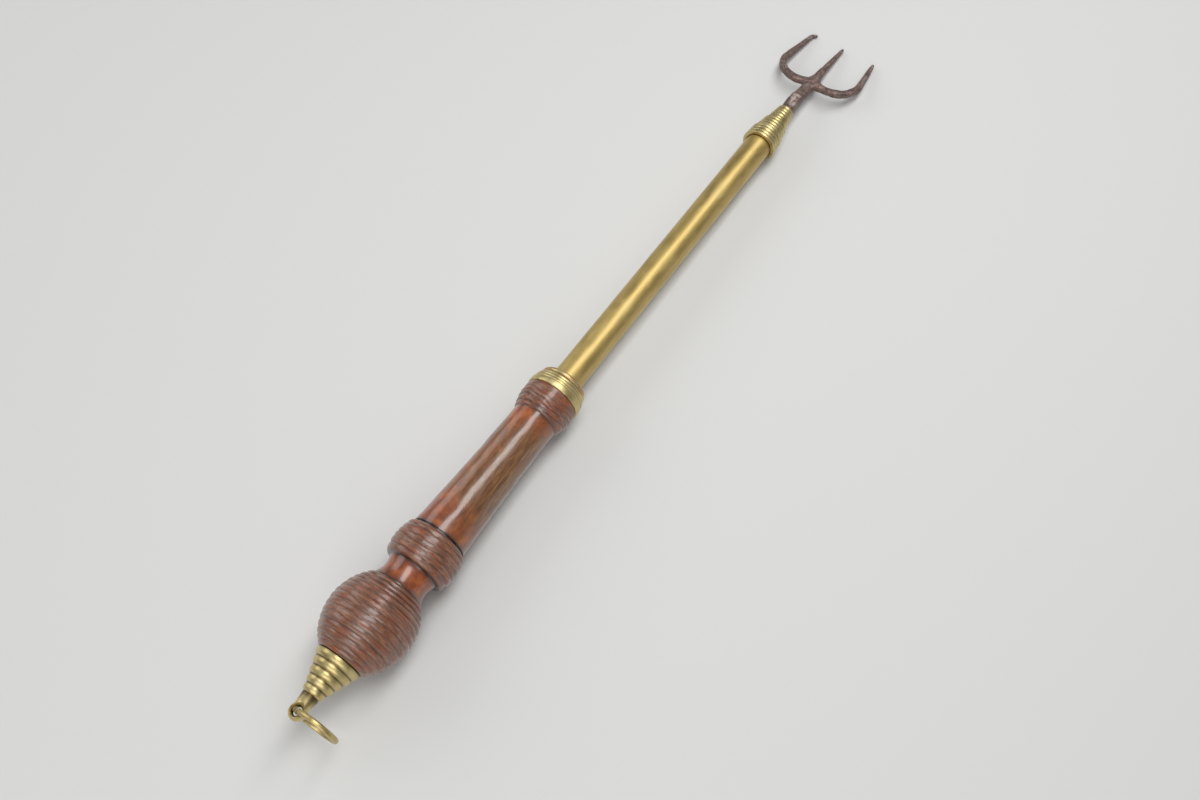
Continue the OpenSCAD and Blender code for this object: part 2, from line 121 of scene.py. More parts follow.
class HandleSizes(bpy.types.PropertyGroup):
    """Sizes of the turned wooden handle"""

    ball_w: size_prop("Ball width", "Width of the reeded ball", 34.6)
    ball_l: size_prop("Ball length", "Length that the ball would have as a whole egg", 40)
    ball_ridges: count_prop("Ball ridges", "Ridges round the ball", 14, 3, 30)
    seat_w: size_prop("Finial seat", "Width of the ball where the finial sits", 18.4)
    neck_start_w: size_prop("Neck start", "Width where the ball ends", 22.6)
    neck_w: size_prop("Neck width", "Width of the neck at its waist", 18.8)
    neck_l: size_prop("Neck length", "Length of the smooth neck", 9.1)
    band_w: size_prop("Middle band", "Width of the middle band at its fullest", 27.8)
    band_end_w: size_prop("Middle band ends", "Width of the middle band at its ends", 24.8)
    band_l: size_prop("Middle band length", "Length of the middle band", 14.6)
    band_ridges: count_prop("Band ridges", "Ridges on the middle band", 6, 3, 12)
    groove_w: size_prop("Groove", "Width of the cut groove in front of the middle band", 0.9)
    grip_rear_w: size_prop("Grip rear", "Width of the grip at the middle band", 22.8)
    grip_front_w: size_prop("Grip front", "Width of the grip at the front band", 19)
    front_band_w: size_prop("Front band", "Width of the front band at its fullest", 23.6)
    front_band_l: size_prop("Front band length", "Length of the front band", 12)
    front_band_ridges: count_prop("Front ridges", "Ridges on the front band", 5, 3, 12)
    ridge_depth: size_prop("Ridge depth", "How deep the grooves between the ridges are", 0.42)
    spigot_w: size_prop("Spigot", "Width of the wood under the ferrule", 18.4)
    rod_w: size_prop("Tie rod", "Width of the rod through the ball and the finial", 4)


class BrassSizes(bpy.types.PropertyGroup):
    """Sizes of the turned and drawn brass"""

    finial_w: size_prop("Finial width", "Width of the largest step of the finial", 18.4)
    finial_small_w: size_prop("Finial small step", "Width of the smallest step", 9.2)
    finial_steps: count_prop("Finial steps", "Steps on the finial", 5, 2, 9)
    step_l: size_prop("Step length", "Length of one step", 3)
    lug_w: size_prop("Lug", "Width of the rounded lug", 6.8)
    lug_neck_w: size_prop("Lug neck", "Width of the neck behind the lug", 5.8)
    eye_w: size_prop("Eye", "Width of the eye in the middle of the lug", 3.4)
    eye_land: size_prop("Eye land", "Length of the straight part of the eye", 0.6)
    eye_round_r: size_prop("Eye rounding", "Radius of the rounded mouth of the eye", 3)
    ring_wire: size_prop("Ring wire", "Thickness of the wire of the ring", 2)
    ferrule_front_w: size_prop("Ferrule front", "Width of the ferrule at its front edge", 20.6)
    ferrule_band_l: size_prop("Ferrule band", "Length of the plain rear band", 2.6)
    ferrule_ribs: count_prop("Ferrule ribs", "Fine ribs on the ferrule", 3, 1, 8)
    tube_wall: size_prop("Tube wall", "Wall of the outer tube", 0.8)
    dents: count_prop("Dents", "Small dents in the outer tube", 46, 0, 200)
    dent_depth: size_prop("Dent depth", "Depth of the deepest dent", 0.11)
    nose_front_w: size_prop("Nose front", "Width of the nose cone at its front end", 8.2)
    nose_cover: size_prop("Nose cover", "How far the lip reaches over the tube", 2.4)
    rib_depth: size_prop("Rib depth", "How deep the grooves between the brass ribs are", 0.32)


class IronSizes(bpy.types.PropertyGroup):
    """Sizes of the forged fork"""

    stem_w: size_prop("Stem", "Width of the squarish stem", 6.4)
    stem_l: size_prop("Stem length", "Length of the squarish stem", 12)
    tang_w: size_prop("Tang", "Width of the round tang", 5.6)
    tang_l: size_prop("Tang length", "Length of the tang in the second draw", 16)
    droop: angle_prop("Droop", "Angle by which the fork is bent down", 8)
    spread: size_prop("Spread", "Distance between the outer prongs at their widest", 40.6)
    tip_spread: size_prop("Tip spread", "Distance between the outer prongs at their tips", 35.8)
    bend_r: size_prop("Bend", "Radius of the bend at the foot of an outer prong", 12.6)
    lean: angle_prop("Cross bar lean", "How far the cross bar leans back", 18)
    crotch_at: size_prop("Crotch", "Distance from the nose cone to the crotch", 28)
    prong_l: size_prop("Prong length", "Length of the middle prong", 35.5)
    prong_w: size_prop("Prong width", "Width of a prong at its foot", 3.6)
    prong_t: size_prop("Prong thickness", "Thickness of a prong at its foot", 3.2)
    tip_w: size_prop("Tip width", "Width of a prong close to its tip", 1.8)
    crotch_w: size_prop("Crotch width", "Width of the forged swelling", 8.6)
    stagger: size_prop("Stagger", "How much further the left prong reaches than the middle one", 2)
    bent_l: size_prop("Bent point", "Length of the bent point on the left prong", 3.2)
    bent_angle: angle_prop("Bent point angle", "Angle of the bent point", 48)
    hammer: size_prop("Hammer marks", "Depth of the hammer marks", 0.16)


class FinishColours(bpy.types.PropertyGroup):
    """Main colours of the finishes"""

    varnish: colour_prop("Varnish", "Orange varnish where it is still whole", "#8e4612")
    worn_wood: colour_prop("Worn wood", "Brown of the grip, where hands wore the varnish", "#6f4827")
    reeded_wood: colour_prop("Reeded wood", "Brown of the dry ridges", "#6c4a36")
    brass: colour_prop("Turned brass", "Crests of the turned brass", "#d9c88e")
    tube: colour_prop("Tube brass", "Golden brown of the outer tube", "#cdb36c")
    iron: colour_prop("Iron", "Brown patina of the fork", "#6e5c55")
    floor: colour_prop("Floor", "Pale matt floor", "#cfcfcd")


class StageSizes(bpy.types.PropertyGroup):
    """Camera and light"""

    camera_at: FloatVectorProperty(
        name="Camera", description="Place of the camera", default=(-0.2326, -0.1446, 0.3965), unit="LENGTH"
    )
    camera_turn: FloatVectorProperty(
        name="Camera turn",
        description="Tilt, roll and heading of the camera",
        default=(math.radians(31.24), 0.0, math.radians(-56.1)),
        subtype="EULER",
    )
    lens: FloatProperty(name="Lens", description="Focal length for a 36 mm wide picture", default=33.0, unit="CAMERA")
    key_power: power_prop("Key light", "Power of the long soft lamp overhead", 6.8)
    fill_power: power_prop("Fill light", "Power of the lamp from the left", 2.2)
    rear_power: power_prop("Rear light", "Power of the lamp behind the ring", 3.4)
    sky: FloatProperty(name="Sky", description="Strength of the even light from all round", default=0.26)


def mix(a, b, k):
    """Straight mix from a at k = 0 to b at k = 1."""
    return a + (b - a) * k


def smooth_step(low, high, x):
    """0 below low, 1 above high, and a cubic ease between them."""
    k = np.clip((x - low) / (high - low), 0, 1)
    return k * k * (3 - 2 * k)


def waves(points, size, seed, count=40):
    """Sum of sine waves with random directions, each about size millimetres long, scaled to a spread of about 1."""
    rng = np.random.default_rng(SEED + seed)
    ways = rng.normal(size=(points.shape[-1], count))
    ways *= 2 * math.pi / (np.linalg.norm(ways, axis=0) * size * rng.uniform(0.7, 1.5, count))
    return np.sin(points @ ways + rng.uniform(0, 2 * math.pi, count)).sum(-1) / math.sqrt(count / 2)


def around(sides):
    """Angles of the columns, once round."""
    return np.linspace(0, 2 * math.pi, sides, endpoint=False)


def turned(x, r, sides):
    """Points of a turned surface: (x, -r sin a, axis height + r cos a) for each row's x and r and each angle a."""
    x, r = (np.broadcast_to(v if np.ndim(v) == 2 else np.asarray(v)[:, None], (len(v), sides)) for v in (x, r))
    a = around(sides)
    return np.stack([x, -r * np.sin(a), AXIS_Z + r * np.cos(a)], -1)


def ridges(curve, count, depth, sides, seed, power, uneven=0.0, sway=0.0, deep=(), rows_each=10):
    """Rounded ridges cut into a curve that gives x and r for k from 0 to 1.

    Ridge i spans its own share of k. A point lies below the curve, square to it, by the groove's depth times |across|
    to power, where across runs from -1 to 1 over the ridge. uneven varies widths and depths, sway lets the grooves
    wander round the axis, and deep multiplies the depth of the last grooves. Returns x, r and how close each point is
    to a groove.
    """
    rng = np.random.default_rng(SEED + seed)
    widths = 1 + uneven * rng.uniform(-1, 1, count)
    edges = np.concatenate([[0], np.cumsum(widths) / widths.sum()])
    depths = depth * (1 + uneven * rng.uniform(-1, 1, count + 1))
    depths[len(depths) - len(deep) :] *= np.array(deep) if len(deep) else 1
    k = np.interp(np.linspace(0, count, count * rows_each + 1), np.arange(count + 1), edges)[:, None]
    a = around(sides)
    ring = np.stack([np.cos(a), np.sin(a)], -1) * 10
    drift = waves(ring, 24, seed + 1, 12) * sway / count
    kk = np.clip(k + drift * np.sin(math.pi * k), 0, 1)
    i = np.clip(np.searchsorted(edges, kk, side="right") - 1, 0, count - 1)
    across = 2 * (kk - edges[i]) / (edges[i + 1] - edges[i]) - 1
    groove = np.abs(across) ** power
    here = np.where(across < 0, depths[i], depths[i + 1])
    low = here * groove
    x, r = curve(k)
    step = 1e-3
    ahead, behind = curve(k + step), curve(k - step)
    dx, dr = ahead[0] - behind[0], ahead[1] - behind[1]
    size = np.hypot(dx, dr)
    return x + low * dr / size, r - low * dx / size, groove * np.clip(here / (1.6 * depth), 0, 1)


def sheet_faces(rows, columns, closed_rows):
    """Four-sided faces of a grid whose columns close round, and whose rows close too if closed_rows."""
    i = np.arange(rows if closed_rows else rows - 1)[:, None]
    j = np.arange(columns)
    ahead, beside = (i + 1) % rows, (j + 1) % columns
    corners = [i * columns + j, i * columns + beside, ahead * columns + beside, ahead * columns + j]
    return np.stack(np.broadcast_arrays(*corners), -1).reshape(-1, 4)


def capped(points):
    """Closes a grid of points at both ends with a middle point each. Returns points, quads and triangles."""
    rows, columns = points.shape[:2]
    flat = points.reshape(-1, 3)
    j = np.arange(columns)
    beside = (j + 1) % columns
    first, last = rows * columns, rows * columns + 1
    fan_a = np.stack([np.full(columns, first), beside, j], -1)
    base = (rows - 1) * columns
    fan_b = np.stack([np.full(columns, last), base + j, base + beside], -1)
    ends = np.stack([points[0].mean(0), points[-1].mean(0)])
    return np.concatenate([flat, ends]), sheet_faces(rows, columns, False), np.concatenate([fan_a, fan_b])


def joined(parts, sides):
    """Puts the rows of several parts one after another.

    Each part has arrays for x, r and so on, of one row or more, which are spread over all its rows and columns.
    """
    spread = [[np.broadcast_to(v, (max(map(len, part)), sides)) for v in part] for part in parts]
    return [np.concatenate(arrays) for arrays in zip(*spread)]


def outwards(points, quads, triangles):
    """Turns the faces of a closed skin outwards.

    They point outwards when the sum of the little tetrahedra from the origin to each face is positive.
    """
    halves = np.concatenate([quads[:, :3], quads[:, [0, 2, 3]], triangles])
    a, b, c = (points[halves[:, i]] for i in range(3))
    return (quads, triangles) if np.einsum("ij,ij", a, np.cross(b, c)) > 0 else (quads[:, ::-1], triangles[:, ::-1])


def make_piece(name, points, quads, triangles=None, sharp=35, **values):
    """Mesh object from points in millimetres, with faces turned outwards and one float attribute for each of values."""
    quads, triangles = outwards(points, quads, np.zeros((0, 3), int) if triangles is None else triangles)
    mesh = bpy.data.meshes.new(name)
    mesh.vertices.add(len(points))
    mesh.vertices.foreach_set("co", (points * MM).ravel())
    loops = np.concatenate([quads.ravel(), triangles.ravel()])
    mesh.loops.add(len(loops))
    mesh.loops.foreach_set("vertex_index", loops)
    starts = [np.arange(len(quads)) * 4, len(quads) * 4 + np.arange(len(triangles)) * 3]
    mesh.polygons.add(len(quads) + len(triangles))
    mesh.polygons.foreach_set("loop_start", np.concatenate(starts))
    mesh.update(calc_edges=True)
    mesh.validate()
    piece = bpy.data.objects.new(name, mesh)
    bpy.context.scene.collection.objects.link(piece)
    smooth(piece, sharp)
    add_values(piece, **values)
    return piece


def make_round(name, points, sharp, **values):
    """Piece from a grid of points that closes both ways, as a ring or a turned body with its bore."""
    return make_piece(name, points.reshape(-1, 3), sheet_faces(*points.shape[:2], True), sharp=sharp, **values)


def smooth(piece, sharp):
    """Shades smooth, except across edges sharper than sharp degrees."""
    mesh = piece.data
    mesh.polygons.foreach_set("use_smooth", np.ones(len(mesh.polygons), bool))
    mesh.set_sharp_from_angle(angle=math.radians(sharp))


def add_values(piece, **values):
    """Adds one float attribute on the points for each of values."""
    for name, value in values.items():
        attribute = piece.data.attributes.new(name, "FLOAT", "POINT")
        attribute.data.foreach_set("value", np.ascontiguousarray(value, np.float32).ravel())


def points_of(piece):
    """Points of a piece in millimetres."""
    co = np.zeros(len(piece.data.vertices) * 3, np.float32)
    piece.data.vertices.foreach_get("co", co)
    return co.reshape(-1, 3).astype(float) / MM


def apply_modifier(piece, kind, **settings):
    """Puts one modifier's result into the piece's mesh."""
    modifier = piece.modifiers.new(kind.lower(), kind)
    for name, value in settings.items():
        setattr(modifier, name, value)
    made = bpy.data.meshes.new_from_object(piece.evaluated_get(bpy.context.evaluated_depsgraph_get()))
    piece.modifiers.clear()
    piece.data = made


def place(piece, body, node, slot, *materials):
    """Hands a finished piece to the frame: its body, the solid that it stands for and its materials. slot is not used.
    """
    for material in materials:
        piece.data.materials.append(material)
    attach(piece, body)
    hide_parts(node)


def feed(tree, node, feeds):
    """Gives a node's inputs, each a value or another node's output."""
    for name, value in feeds.items():
        if isinstance(value, bpy.types.NodeSocket):
            tree.links.new(value, node.inputs[name])
        else:
            node.inputs[name].default_value = value


def add(tree, kind, feeds, stops=(), out=0, **settings):
    """Adds a shader node with its settings, its inputs and the places and colours of a ramp's stops.

    Returns the node's output number out.
    """
    node = tree.nodes.new("ShaderNode" + kind)
    for name, value in settings.items():
        setattr(node, name, value)
    feed(tree, node, feeds)
    for n, (at, colour) in enumerate(stops):
        element = node.color_ramp.elements[n] if n < 2 else node.color_ramp.elements.new(at)
        element.position = at
        element.color = linear(colour) if isinstance(colour, str) else (colour, colour, colour, 1)
    return node.outputs[out]


def per(*sizes):
    """Factors that turn metres to multiples of the sizes, given in millimetres for the three directions."""
    return tuple(1 / (MM * size) for size in sizes)


def new_material(name, **shader):
    """Empty node material whose shader has the given values all over, with _ for the spaces in their names.

    Returns the material, its tree, the shader node and the object coordinates in metres.
    """
    material = bpy.data.materials.new(name)
    material.use_nodes = True
    tree = material.node_tree
    tree.nodes.clear()
    surface = tree.nodes.new("ShaderNodeBsdfPrincipled")
    feed(tree, surface, {key.replace("_", " "): value for key, value in shader.items()})
    feed(tree, tree.nodes.new("ShaderNodeOutputMaterial"), {"Surface": surface.outputs[0]})
    return material, tree, surface, add(tree, "TexCoord", {}, out=3)


def varnished_wood(colours):
    """Turned hardwood under old shellac varnish: a clear gloss coat over brown wood, orange where the coat is whole.

    Fibres run along the axis, about 8 mm long and 1.1 mm wide, the stains are 6 mm and the pale chips of the varnish
    1 mm, a little coarser than real so that they show. The redness attribute says where the coat is whole, and a
    second attribute where grooves and corners are darkened: painted shade with some dirt.
    """
    material, tree, surface, where = new_material(
        "shellac_varnished_hardwood", Coat_Weight=1.0, Coat_Roughness=0.2, Coat_IOR=1.58, IOR=1.45
    )
    along = add(tree, "VectorMath", {0: where, 1: per(8, 1.1, 1.1)}, operation="MULTIPLY")
    fibres = add(tree, "TexNoise", {"Vector": along, "Scale": 1, "Detail": 5, "Roughness": 0.66})
    lumps = add(tree, "VectorMath", {0: where, 1: per(6, 4.5, 4.5)}, operation="MULTIPLY")
    stains = add(tree, "TexNoise", {"Vector": lumps, "Scale": 1, "Detail": 5, "Roughness": 0.62, "Distortion": 0.4})
    small = add(tree, "VectorMath", {0: where, 1: per(1.1, 0.6, 0.6)}, operation="MULTIPLY")
    chips = add(tree, "TexNoise", {"Vector": small, "Scale": 1, "Detail": 3, "Roughness": 0.6})

    brown = [(0.3, "#361c10"), (0.44, "#5c371c"), (0.56, "#7f562e"), (0.72, "#a07c49")]
    wood = add(tree, "ValToRGB", {"Fac": fibres}, brown)
    worn = add(tree, "Mix", {0: 0.45, 6: wood, 7: tuple(colours.worn_wood)}, out=2, data_type="RGBA")
    orange = [(0.32, "#4a1705"), (0.48, "#7c350f"), (0.6, "#a2541b"), (0.74, "#c3782f")]
    coat = add(tree, "ValToRGB", {"Fac": stains}, orange)
    coat = add(tree, "Mix", {0: 0.35, 6: coat, 7: tuple(colours.varnish)}, out=2, data_type="RGBA")
    redness = add(tree, "Attribute", {}, out=2, attribute_name="redness")
    patch = add(tree, "Math", {0: redness, 1: stains}, operation="ADD")
    whole = add(tree, "MapRange", {"Value": patch, "From Min": 0.55, "From Max": 1.25})
    colour = add(tree, "Mix", {0: whole, 6: worn, 7: coat}, out=2, data_type="RGBA")
    chipped = add(tree, "ValToRGB", {"Fac": chips}, [(0.62, 0.0), (0.76, 0.5)])
    colour = add(tree, "Mix", {0: chipped, 6: colour, 7: linear("#a5814f")}, out=2, data_type="RGBA")
    soot = add(tree, "Attribute", {}, out=2, attribute_name="soot")
    # Painted shade with some dirt: the grooves and corners that the attribute marks darken towards near-black brown
    grime_and_shade_share = add(tree, "Math", {0: soot, 1: 0.92}, operation="MULTIPLY")
    colour = add(tree, "Mix", {0: grime_and_shade_share, 6: colour, 7: linear("#1d0e08")}, out=2, data_type="RGBA")

    rough = add(tree, "MapRange", {"Value": stains, "From Min": 0.3, "From Max": 0.7, "To Min": 0.28, "To Max": 0.5})
    height = add(tree, "Math", {0: fibres, 1: chips}, operation="ADD")
    grain = add(tree, "Bump", {"Height": height, "Strength": 0.25, "Distance": 0.06 * MM})
    scratched = add(tree, "Bump", {"Height": chips, "Strength": 0.12, "Distance": 0.03 * MM})
    feed(tree, surface, {"Base Color": colour, "Roughness": rough, "Normal": grain, "Coat Normal": scratched})
    return material


def reeded_wood(colours):
    """The same hardwood cut into ridges: grey brown with reddish wear, waxed by hands, and grooves darkened by painted
    shade with some dirt.

    Wear and fibres follow the ridges round the axis: patches 2.4 mm along it and 6 mm round it, fibres 0.9 mm by
    5 mm. The attribute that marks the grooves is 1 at the bottom of a groove, where painted shade with some dirt goes.
    """
    material, tree, surface, where = new_material(
        "dry_reeded_hardwood", Coat_Weight=0.9, Coat_Roughness=0.25, Coat_IOR=1.56, IOR=1.45
    )
    lumps = add(tree, "VectorMath", {0: where, 1: per(2.4, 6, 6)}, operation="MULTIPLY")
    patches = add(tree, "TexNoise", {"Vector": lumps, "Scale": 1, "Detail": 5, "Roughness": 0.62, "Distortion": 0.3})
    along = add(tree, "VectorMath", {0: where, 1: per(0.9, 5, 5)}, operation="MULTIPLY")
    fibres = add(tree, "TexNoise", {"Vector": along, "Scale": 1, "Detail": 5, "Roughness": 0.65})
    small = add(tree, "VectorMath", {0: where, 1: per(0.7, 0.5, 0.5)}, operation="MULTIPLY")
    grit = add(tree, "TexNoise", {"Vector": small, "Scale": 1, "Detail": 3, "Roughness": 0.6})

    brown = [(0.28, "#3a2014"), (0.45, "#633a26"), (0.58, "#84573e"), (0.74, "#a88065")]
    dry = add(tree, "ValToRGB", {"Fac": fibres}, brown)
    dry = add(tree, "Mix", {0: 0.3, 6: dry, 7: tuple(colours.reeded_wood)}, out=2, data_type="RGBA")
    red = add(tree, "ValToRGB", {"Fac": grit}, [(0.35, "#62260c"), (0.6, "#9c4c1d")])
    worn = add(tree, "ValToRGB", {"Fac": patches}, [(0.47, 0.0), (0.66, 0.85)])
    colour = add(tree, "Mix", {0: worn, 6: dry, 7: red}, out=2, data_type="RGBA")
    soot = add(tree, "Attribute", {}, out=2, attribute_name="soot")
    uneven = add(tree, "Math", {0: patches, 1: grit}, operation="ADD")
    deep = add(tree, "Math", {0: soot, 1: uneven}, operation="ADD")
    # Painted shade with some dirt darkens the bottoms of the grooves
    grime_and_shade_share = add(tree, "MapRange", {"Value": deep, "From Min": 1.25, "From Max": 2.1})
    colour = add(tree, "Mix", {0: grime_and_shade_share, 6: colour, 7: linear("#1b0e08")}, out=2, data_type="RGBA")

    rough = add(tree, "MapRange", {"Value": patches, "From Min": 0.3, "From Max": 0.7, "To Min": 0.34, "To Max": 0.62})
    height = add(tree, "Math", {0: fibres, 1: grit}, operation="ADD")
    grain = add(tree, "Bump", {"Height": height, "Strength": 0.5, "Distance": 0.12 * MM})
    feed(tree, surface, {"Base Color": colour, "Roughness": rough, "Normal": grain})
    return material


def brass(name, crest, stops, cloud, fine, rough, bump_depth, soot_colour="#4a3512", copper=False):
    """Brass that was turned or drawn and then rubbed for years: metal under a thin clear lacquer of wax and grease,
    pale on the crests and brown in the grooves, from tarnish where polish can't reach and from painted shade.

    cloud is the size of the tarnish patches and fine that of the tool or rubbing marks, in millimetres for the three
    directions. rough is the least and the most roughness. The attribute that marks grooves is 1 at the bottom of a
    groove, where it paints shade with some tarnish, and copper, where it is asked for, is 1 where the zinc is worn out
    of the brass.
    """
    material, tree, surface, where = new_material(
        name, Metallic=1.0, Coat_Weight=0.5, Coat_Roughness=0.4, Coat_IOR=1.6
    )
    clouds = add(tree, "VectorMath", {0: where, 1: per(*cloud)}, operation="MULTIPLY")
    tarnish = add(tree, "TexNoise", {"Vector": clouds, "Scale": 1, "Detail": 5, "Roughness": 0.6, "Distortion": 0.4})
    lines = add(tree, "VectorMath", {0: where, 1: per(*fine)}, operation="MULTIPLY")
    marks = add(tree, "TexNoise", {"Vector": lines, "Scale": 1, "Detail": 4, "Roughness": 0.6})

    colour = add(tree, "ValToRGB", {"Fac": tarnish}, stops)
    colour = add(tree, "Mix", {0: 0.4, 6: colour, 7: tuple(crest)}, out=2, data_type="RGBA")
    streaks = add(tree, "MapRange", {"Value": marks, "From Min": 0.3, "From Max": 0.7, "To Max": 0.16})
    colour = add(tree, "Mix", {0: streaks, 6: colour, 7: linear(soot_colour)}, out=2, data_type="RGBA")
    if copper:
        worn = add(tree, "Attribute", {}, out=2, attribute_name="copper")
        worn = add(tree, "Math", {0: worn, 1: tarnish}, operation="MULTIPLY")
        worn = add(tree, "MapRange", {"Value": worn, "From Min": 0.2, "From Max": 0.5, "To Max": 0.85})
        colour = add(tree, "Mix", {0: worn, 6: colour, 7: linear("#b98560")}, out=2, data_type="RGBA")
    # Painted shade with some tarnish: the bottoms of grooves, bores and corners darken towards the dark brown
    soot = add(tree, "Attribute", {}, out=2, attribute_name="soot")
    dark = add(tree, "MapRange", {"Value": soot, "From Min": 0.25, "From Max": 0.85, "To Max": 0.85})
    colour = add(tree, "Mix", {0: dark, 6: colour, 7: linear(soot_colour)}, out=2, data_type="RGBA")

    limits = {"From Min": 0.3, "From Max": 0.7, "To Min": rough[0], "To Max": rough[1]}
    dull = add(tree, "MapRange", {"Value": tarnish, **limits})
    bump = add(tree, "Bump", {"Height": marks, "Strength": 0.6, "Distance": bump_depth * MM})
    feed(tree, surface, {"Base Color": colour, "Roughness": dull, "Normal": bump})
    return material


def turned_brass(colours):
    """Turned brass: fine rings from the lathe tool 0.25 mm apart, rubbed bright on the crests, brown in the grooves
    from tarnish and painted shade.
    """
    stops = [(0.3, "#a89253"), (0.46, "#c9b474"), (0.6, "#d9c78e"), (0.75, "#e6d9ae")]
    return brass("turned_brass", colours.brass, stops, (5, 4, 4), (0.25, 3, 3), (0.34, 0.48), 0.02, copper=True)


def aged_tube(colours):
    """Drawn brass tube, satin and golden brown: long rubbing marks 28 mm by 0.6 mm, brown patches of 14 mm."""
    stops = [(0.28, "#a18648"), (0.44, "#bea45f"), (0.6, "#cfb674"), (0.76, "#dac68c")]
    satin = (0.46, 0.58)
    return brass("aged_drawn_brass", colours.tube, stops, (14, 5, 5), (28, 0.6, 0.6), satin, 0.012, "#5c4716")


def slid_tube(colours):
    """Drawn brass tube kept bright by sliding: fine scratches along it, 60 mm by 0.35 mm, and few stains."""
    stops = [(0.3, "#a88a42"), (0.5, "#c5a95c"), (0.7, "#d8c27c")]
    bright = (0.2, 0.32)
    return brass("slid_drawn_brass", colours.brass, stops, (30, 6, 6), (60, 0.35, 0.35), bright, 0.015, "#7a6128")


def wire_brass(colours):
    """Drawn brass wire, worn smooth by hooks: soft stains of 3 mm and no sharp marks."""
    stops = [(0.32, "#8a7239"), (0.5, "#b9a05e"), (0.68, "#dac78a")]
    return brass("drawn_brass_wire", colours.brass, stops, (3, 2, 2), (1.2, 0.5, 0.5), (0.34, 0.46), 0.02)


def machined_brass(colours):
    """Plain brass fitting as it left the lathe: rings 0.2 mm apart, brown from age."""
    stops = [(0.3, "#7a6029"), (0.5, "#a18444"), (0.7, "#bfa463")]
    return brass("machined_brass", colours.brass, stops, (4, 4, 4), (0.2, 4, 4), (0.3, 0.46), 0.02)


def forged_iron(colours):
    """Forged iron with a brown fire patina: half metallic, pitted at about 0.9 mm, scale patches of 4.5 mm, and pale
    bare grey metal where the worn attribute says that hands and bread rubbed it; on faces turned up it is partly
    painted highlight."""
    material, tree, surface, where = new_material("forged_iron_patina")
    lumps = add(tree, "VectorMath", {0: where, 1: per(4.5, 3.5, 3.5)}, operation="MULTIPLY")
    scale = add(tree, "TexNoise", {"Vector": lumps, "Scale": 1, "Detail": 5, "Roughness": 0.62, "Distortion": 0.7})
    small = add(tree, "VectorMath", {0: where, 1: per(0.9, 0.7, 0.7)}, operation="MULTIPLY")
    pits = add(tree, "TexNoise", {"Vector": small, "Scale": 1, "Detail": 4, "Roughness": 0.65})
    fine = add(tree, "VectorMath", {0: where, 1: per(0.35, 0.3, 0.3)}, operation="MULTIPLY")
    grain = add(tree, "TexNoise", {"Vector": fine, "Scale": 1, "Detail": 2, "Roughness": 0.6})

    brown = [(0.3, "#433836"), (0.46, "#6a5650"), (0.58, "#8b7268"), (0.72, "#a99186")]
    colour = add(tree, "ValToRGB", {"Fac": scale}, brown)
    colour = add(tree, "Mix", {0: 0.3, 6: colour, 7: tuple(colours.iron)}, out=2, data_type="RGBA")
    holes = add(tree, "ValToRGB", {"Fac": pits}, [(0.36, 0.75), (0.48, 0.0)])
    colour = add(tree, "Mix", {0: holes, 6: colour, 7: linear("#231918")}, out=2, data_type="RGBA")
    worn = add(tree, "Attribute", {}, out=2, attribute_name="worn")
    wear_and_highlight = add(tree, "Math", {0: worn, 1: pits}, operation="MULTIPLY")
    bare = add(tree, "MapRange", {"Value": wear_and_highlight, "From Min": 0.2, "From Max": 0.55, "To Max": 0.85})
    # Pale bare metal: worn at the tips, and partly painted highlight on the faces turned up
    colour = add(tree, "Mix", {0: bare, 6: colour, 7: linear("#c4b6ad")}, out=2, data_type="RGBA")

    metal = add(tree, "MapRange", {"Value": bare, "To Min": 0.45, "To Max": 0.9})
    rough = add(tree, "MapRange", {"Value": scale, "From Min": 0.3, "From Max": 0.7, "To Min": 0.3, "To Max": 0.52})
    height = add(tree, "Math", {0: pits, 1: grain}, operation="ADD")
    bump = add(tree, "Bump", {"Height": height, "Strength": 0.7, "Distance": 0.16 * MM})
    feed(tree, surface, {"Base Color": colour, "Metallic": metal, "Roughness": rough, "Normal": bump})
    return material


def steel_rod(colours):
    """Plain drawn steel rod, hidden in the closed fork: dark grey with faint rust, 6 mm along it and 2 mm across."""
    material, tree, surface, where = new_material("drawn_steel_rod", Metallic=1.0, Roughness=0.4)
    lumps = add(tree, "VectorMath", {0: where, 1: per(6, 2, 2)}, operation="MULTIPLY")
    rust = add(tree, "TexNoise", {"Vector": lumps, "Scale": 1, "Detail": 4, "Roughness": 0.55})
    feed(tree, surface, {"Base Color": add(tree, "ValToRGB", {"Fac": rust}, [(0.35, "#6b6663"), (0.7, "#8a7466")])})
    return material


def matt_floor(colours):
    """Plain pale matt card for the floor."""
    return new_material("pale_matt_card", Base_Color=tuple(colours.floor), Roughness=0.9)[0]


def finish_named(maker):
    """The material that maker makes, made once and then kept for all pieces that need it."""
    if maker.__name__ not in bpy.context.scene:
        bpy.context.scene[maker.__name__] = maker(bpy.context.scene.fork_colours)
    return bpy.context.scene[maker.__name__]


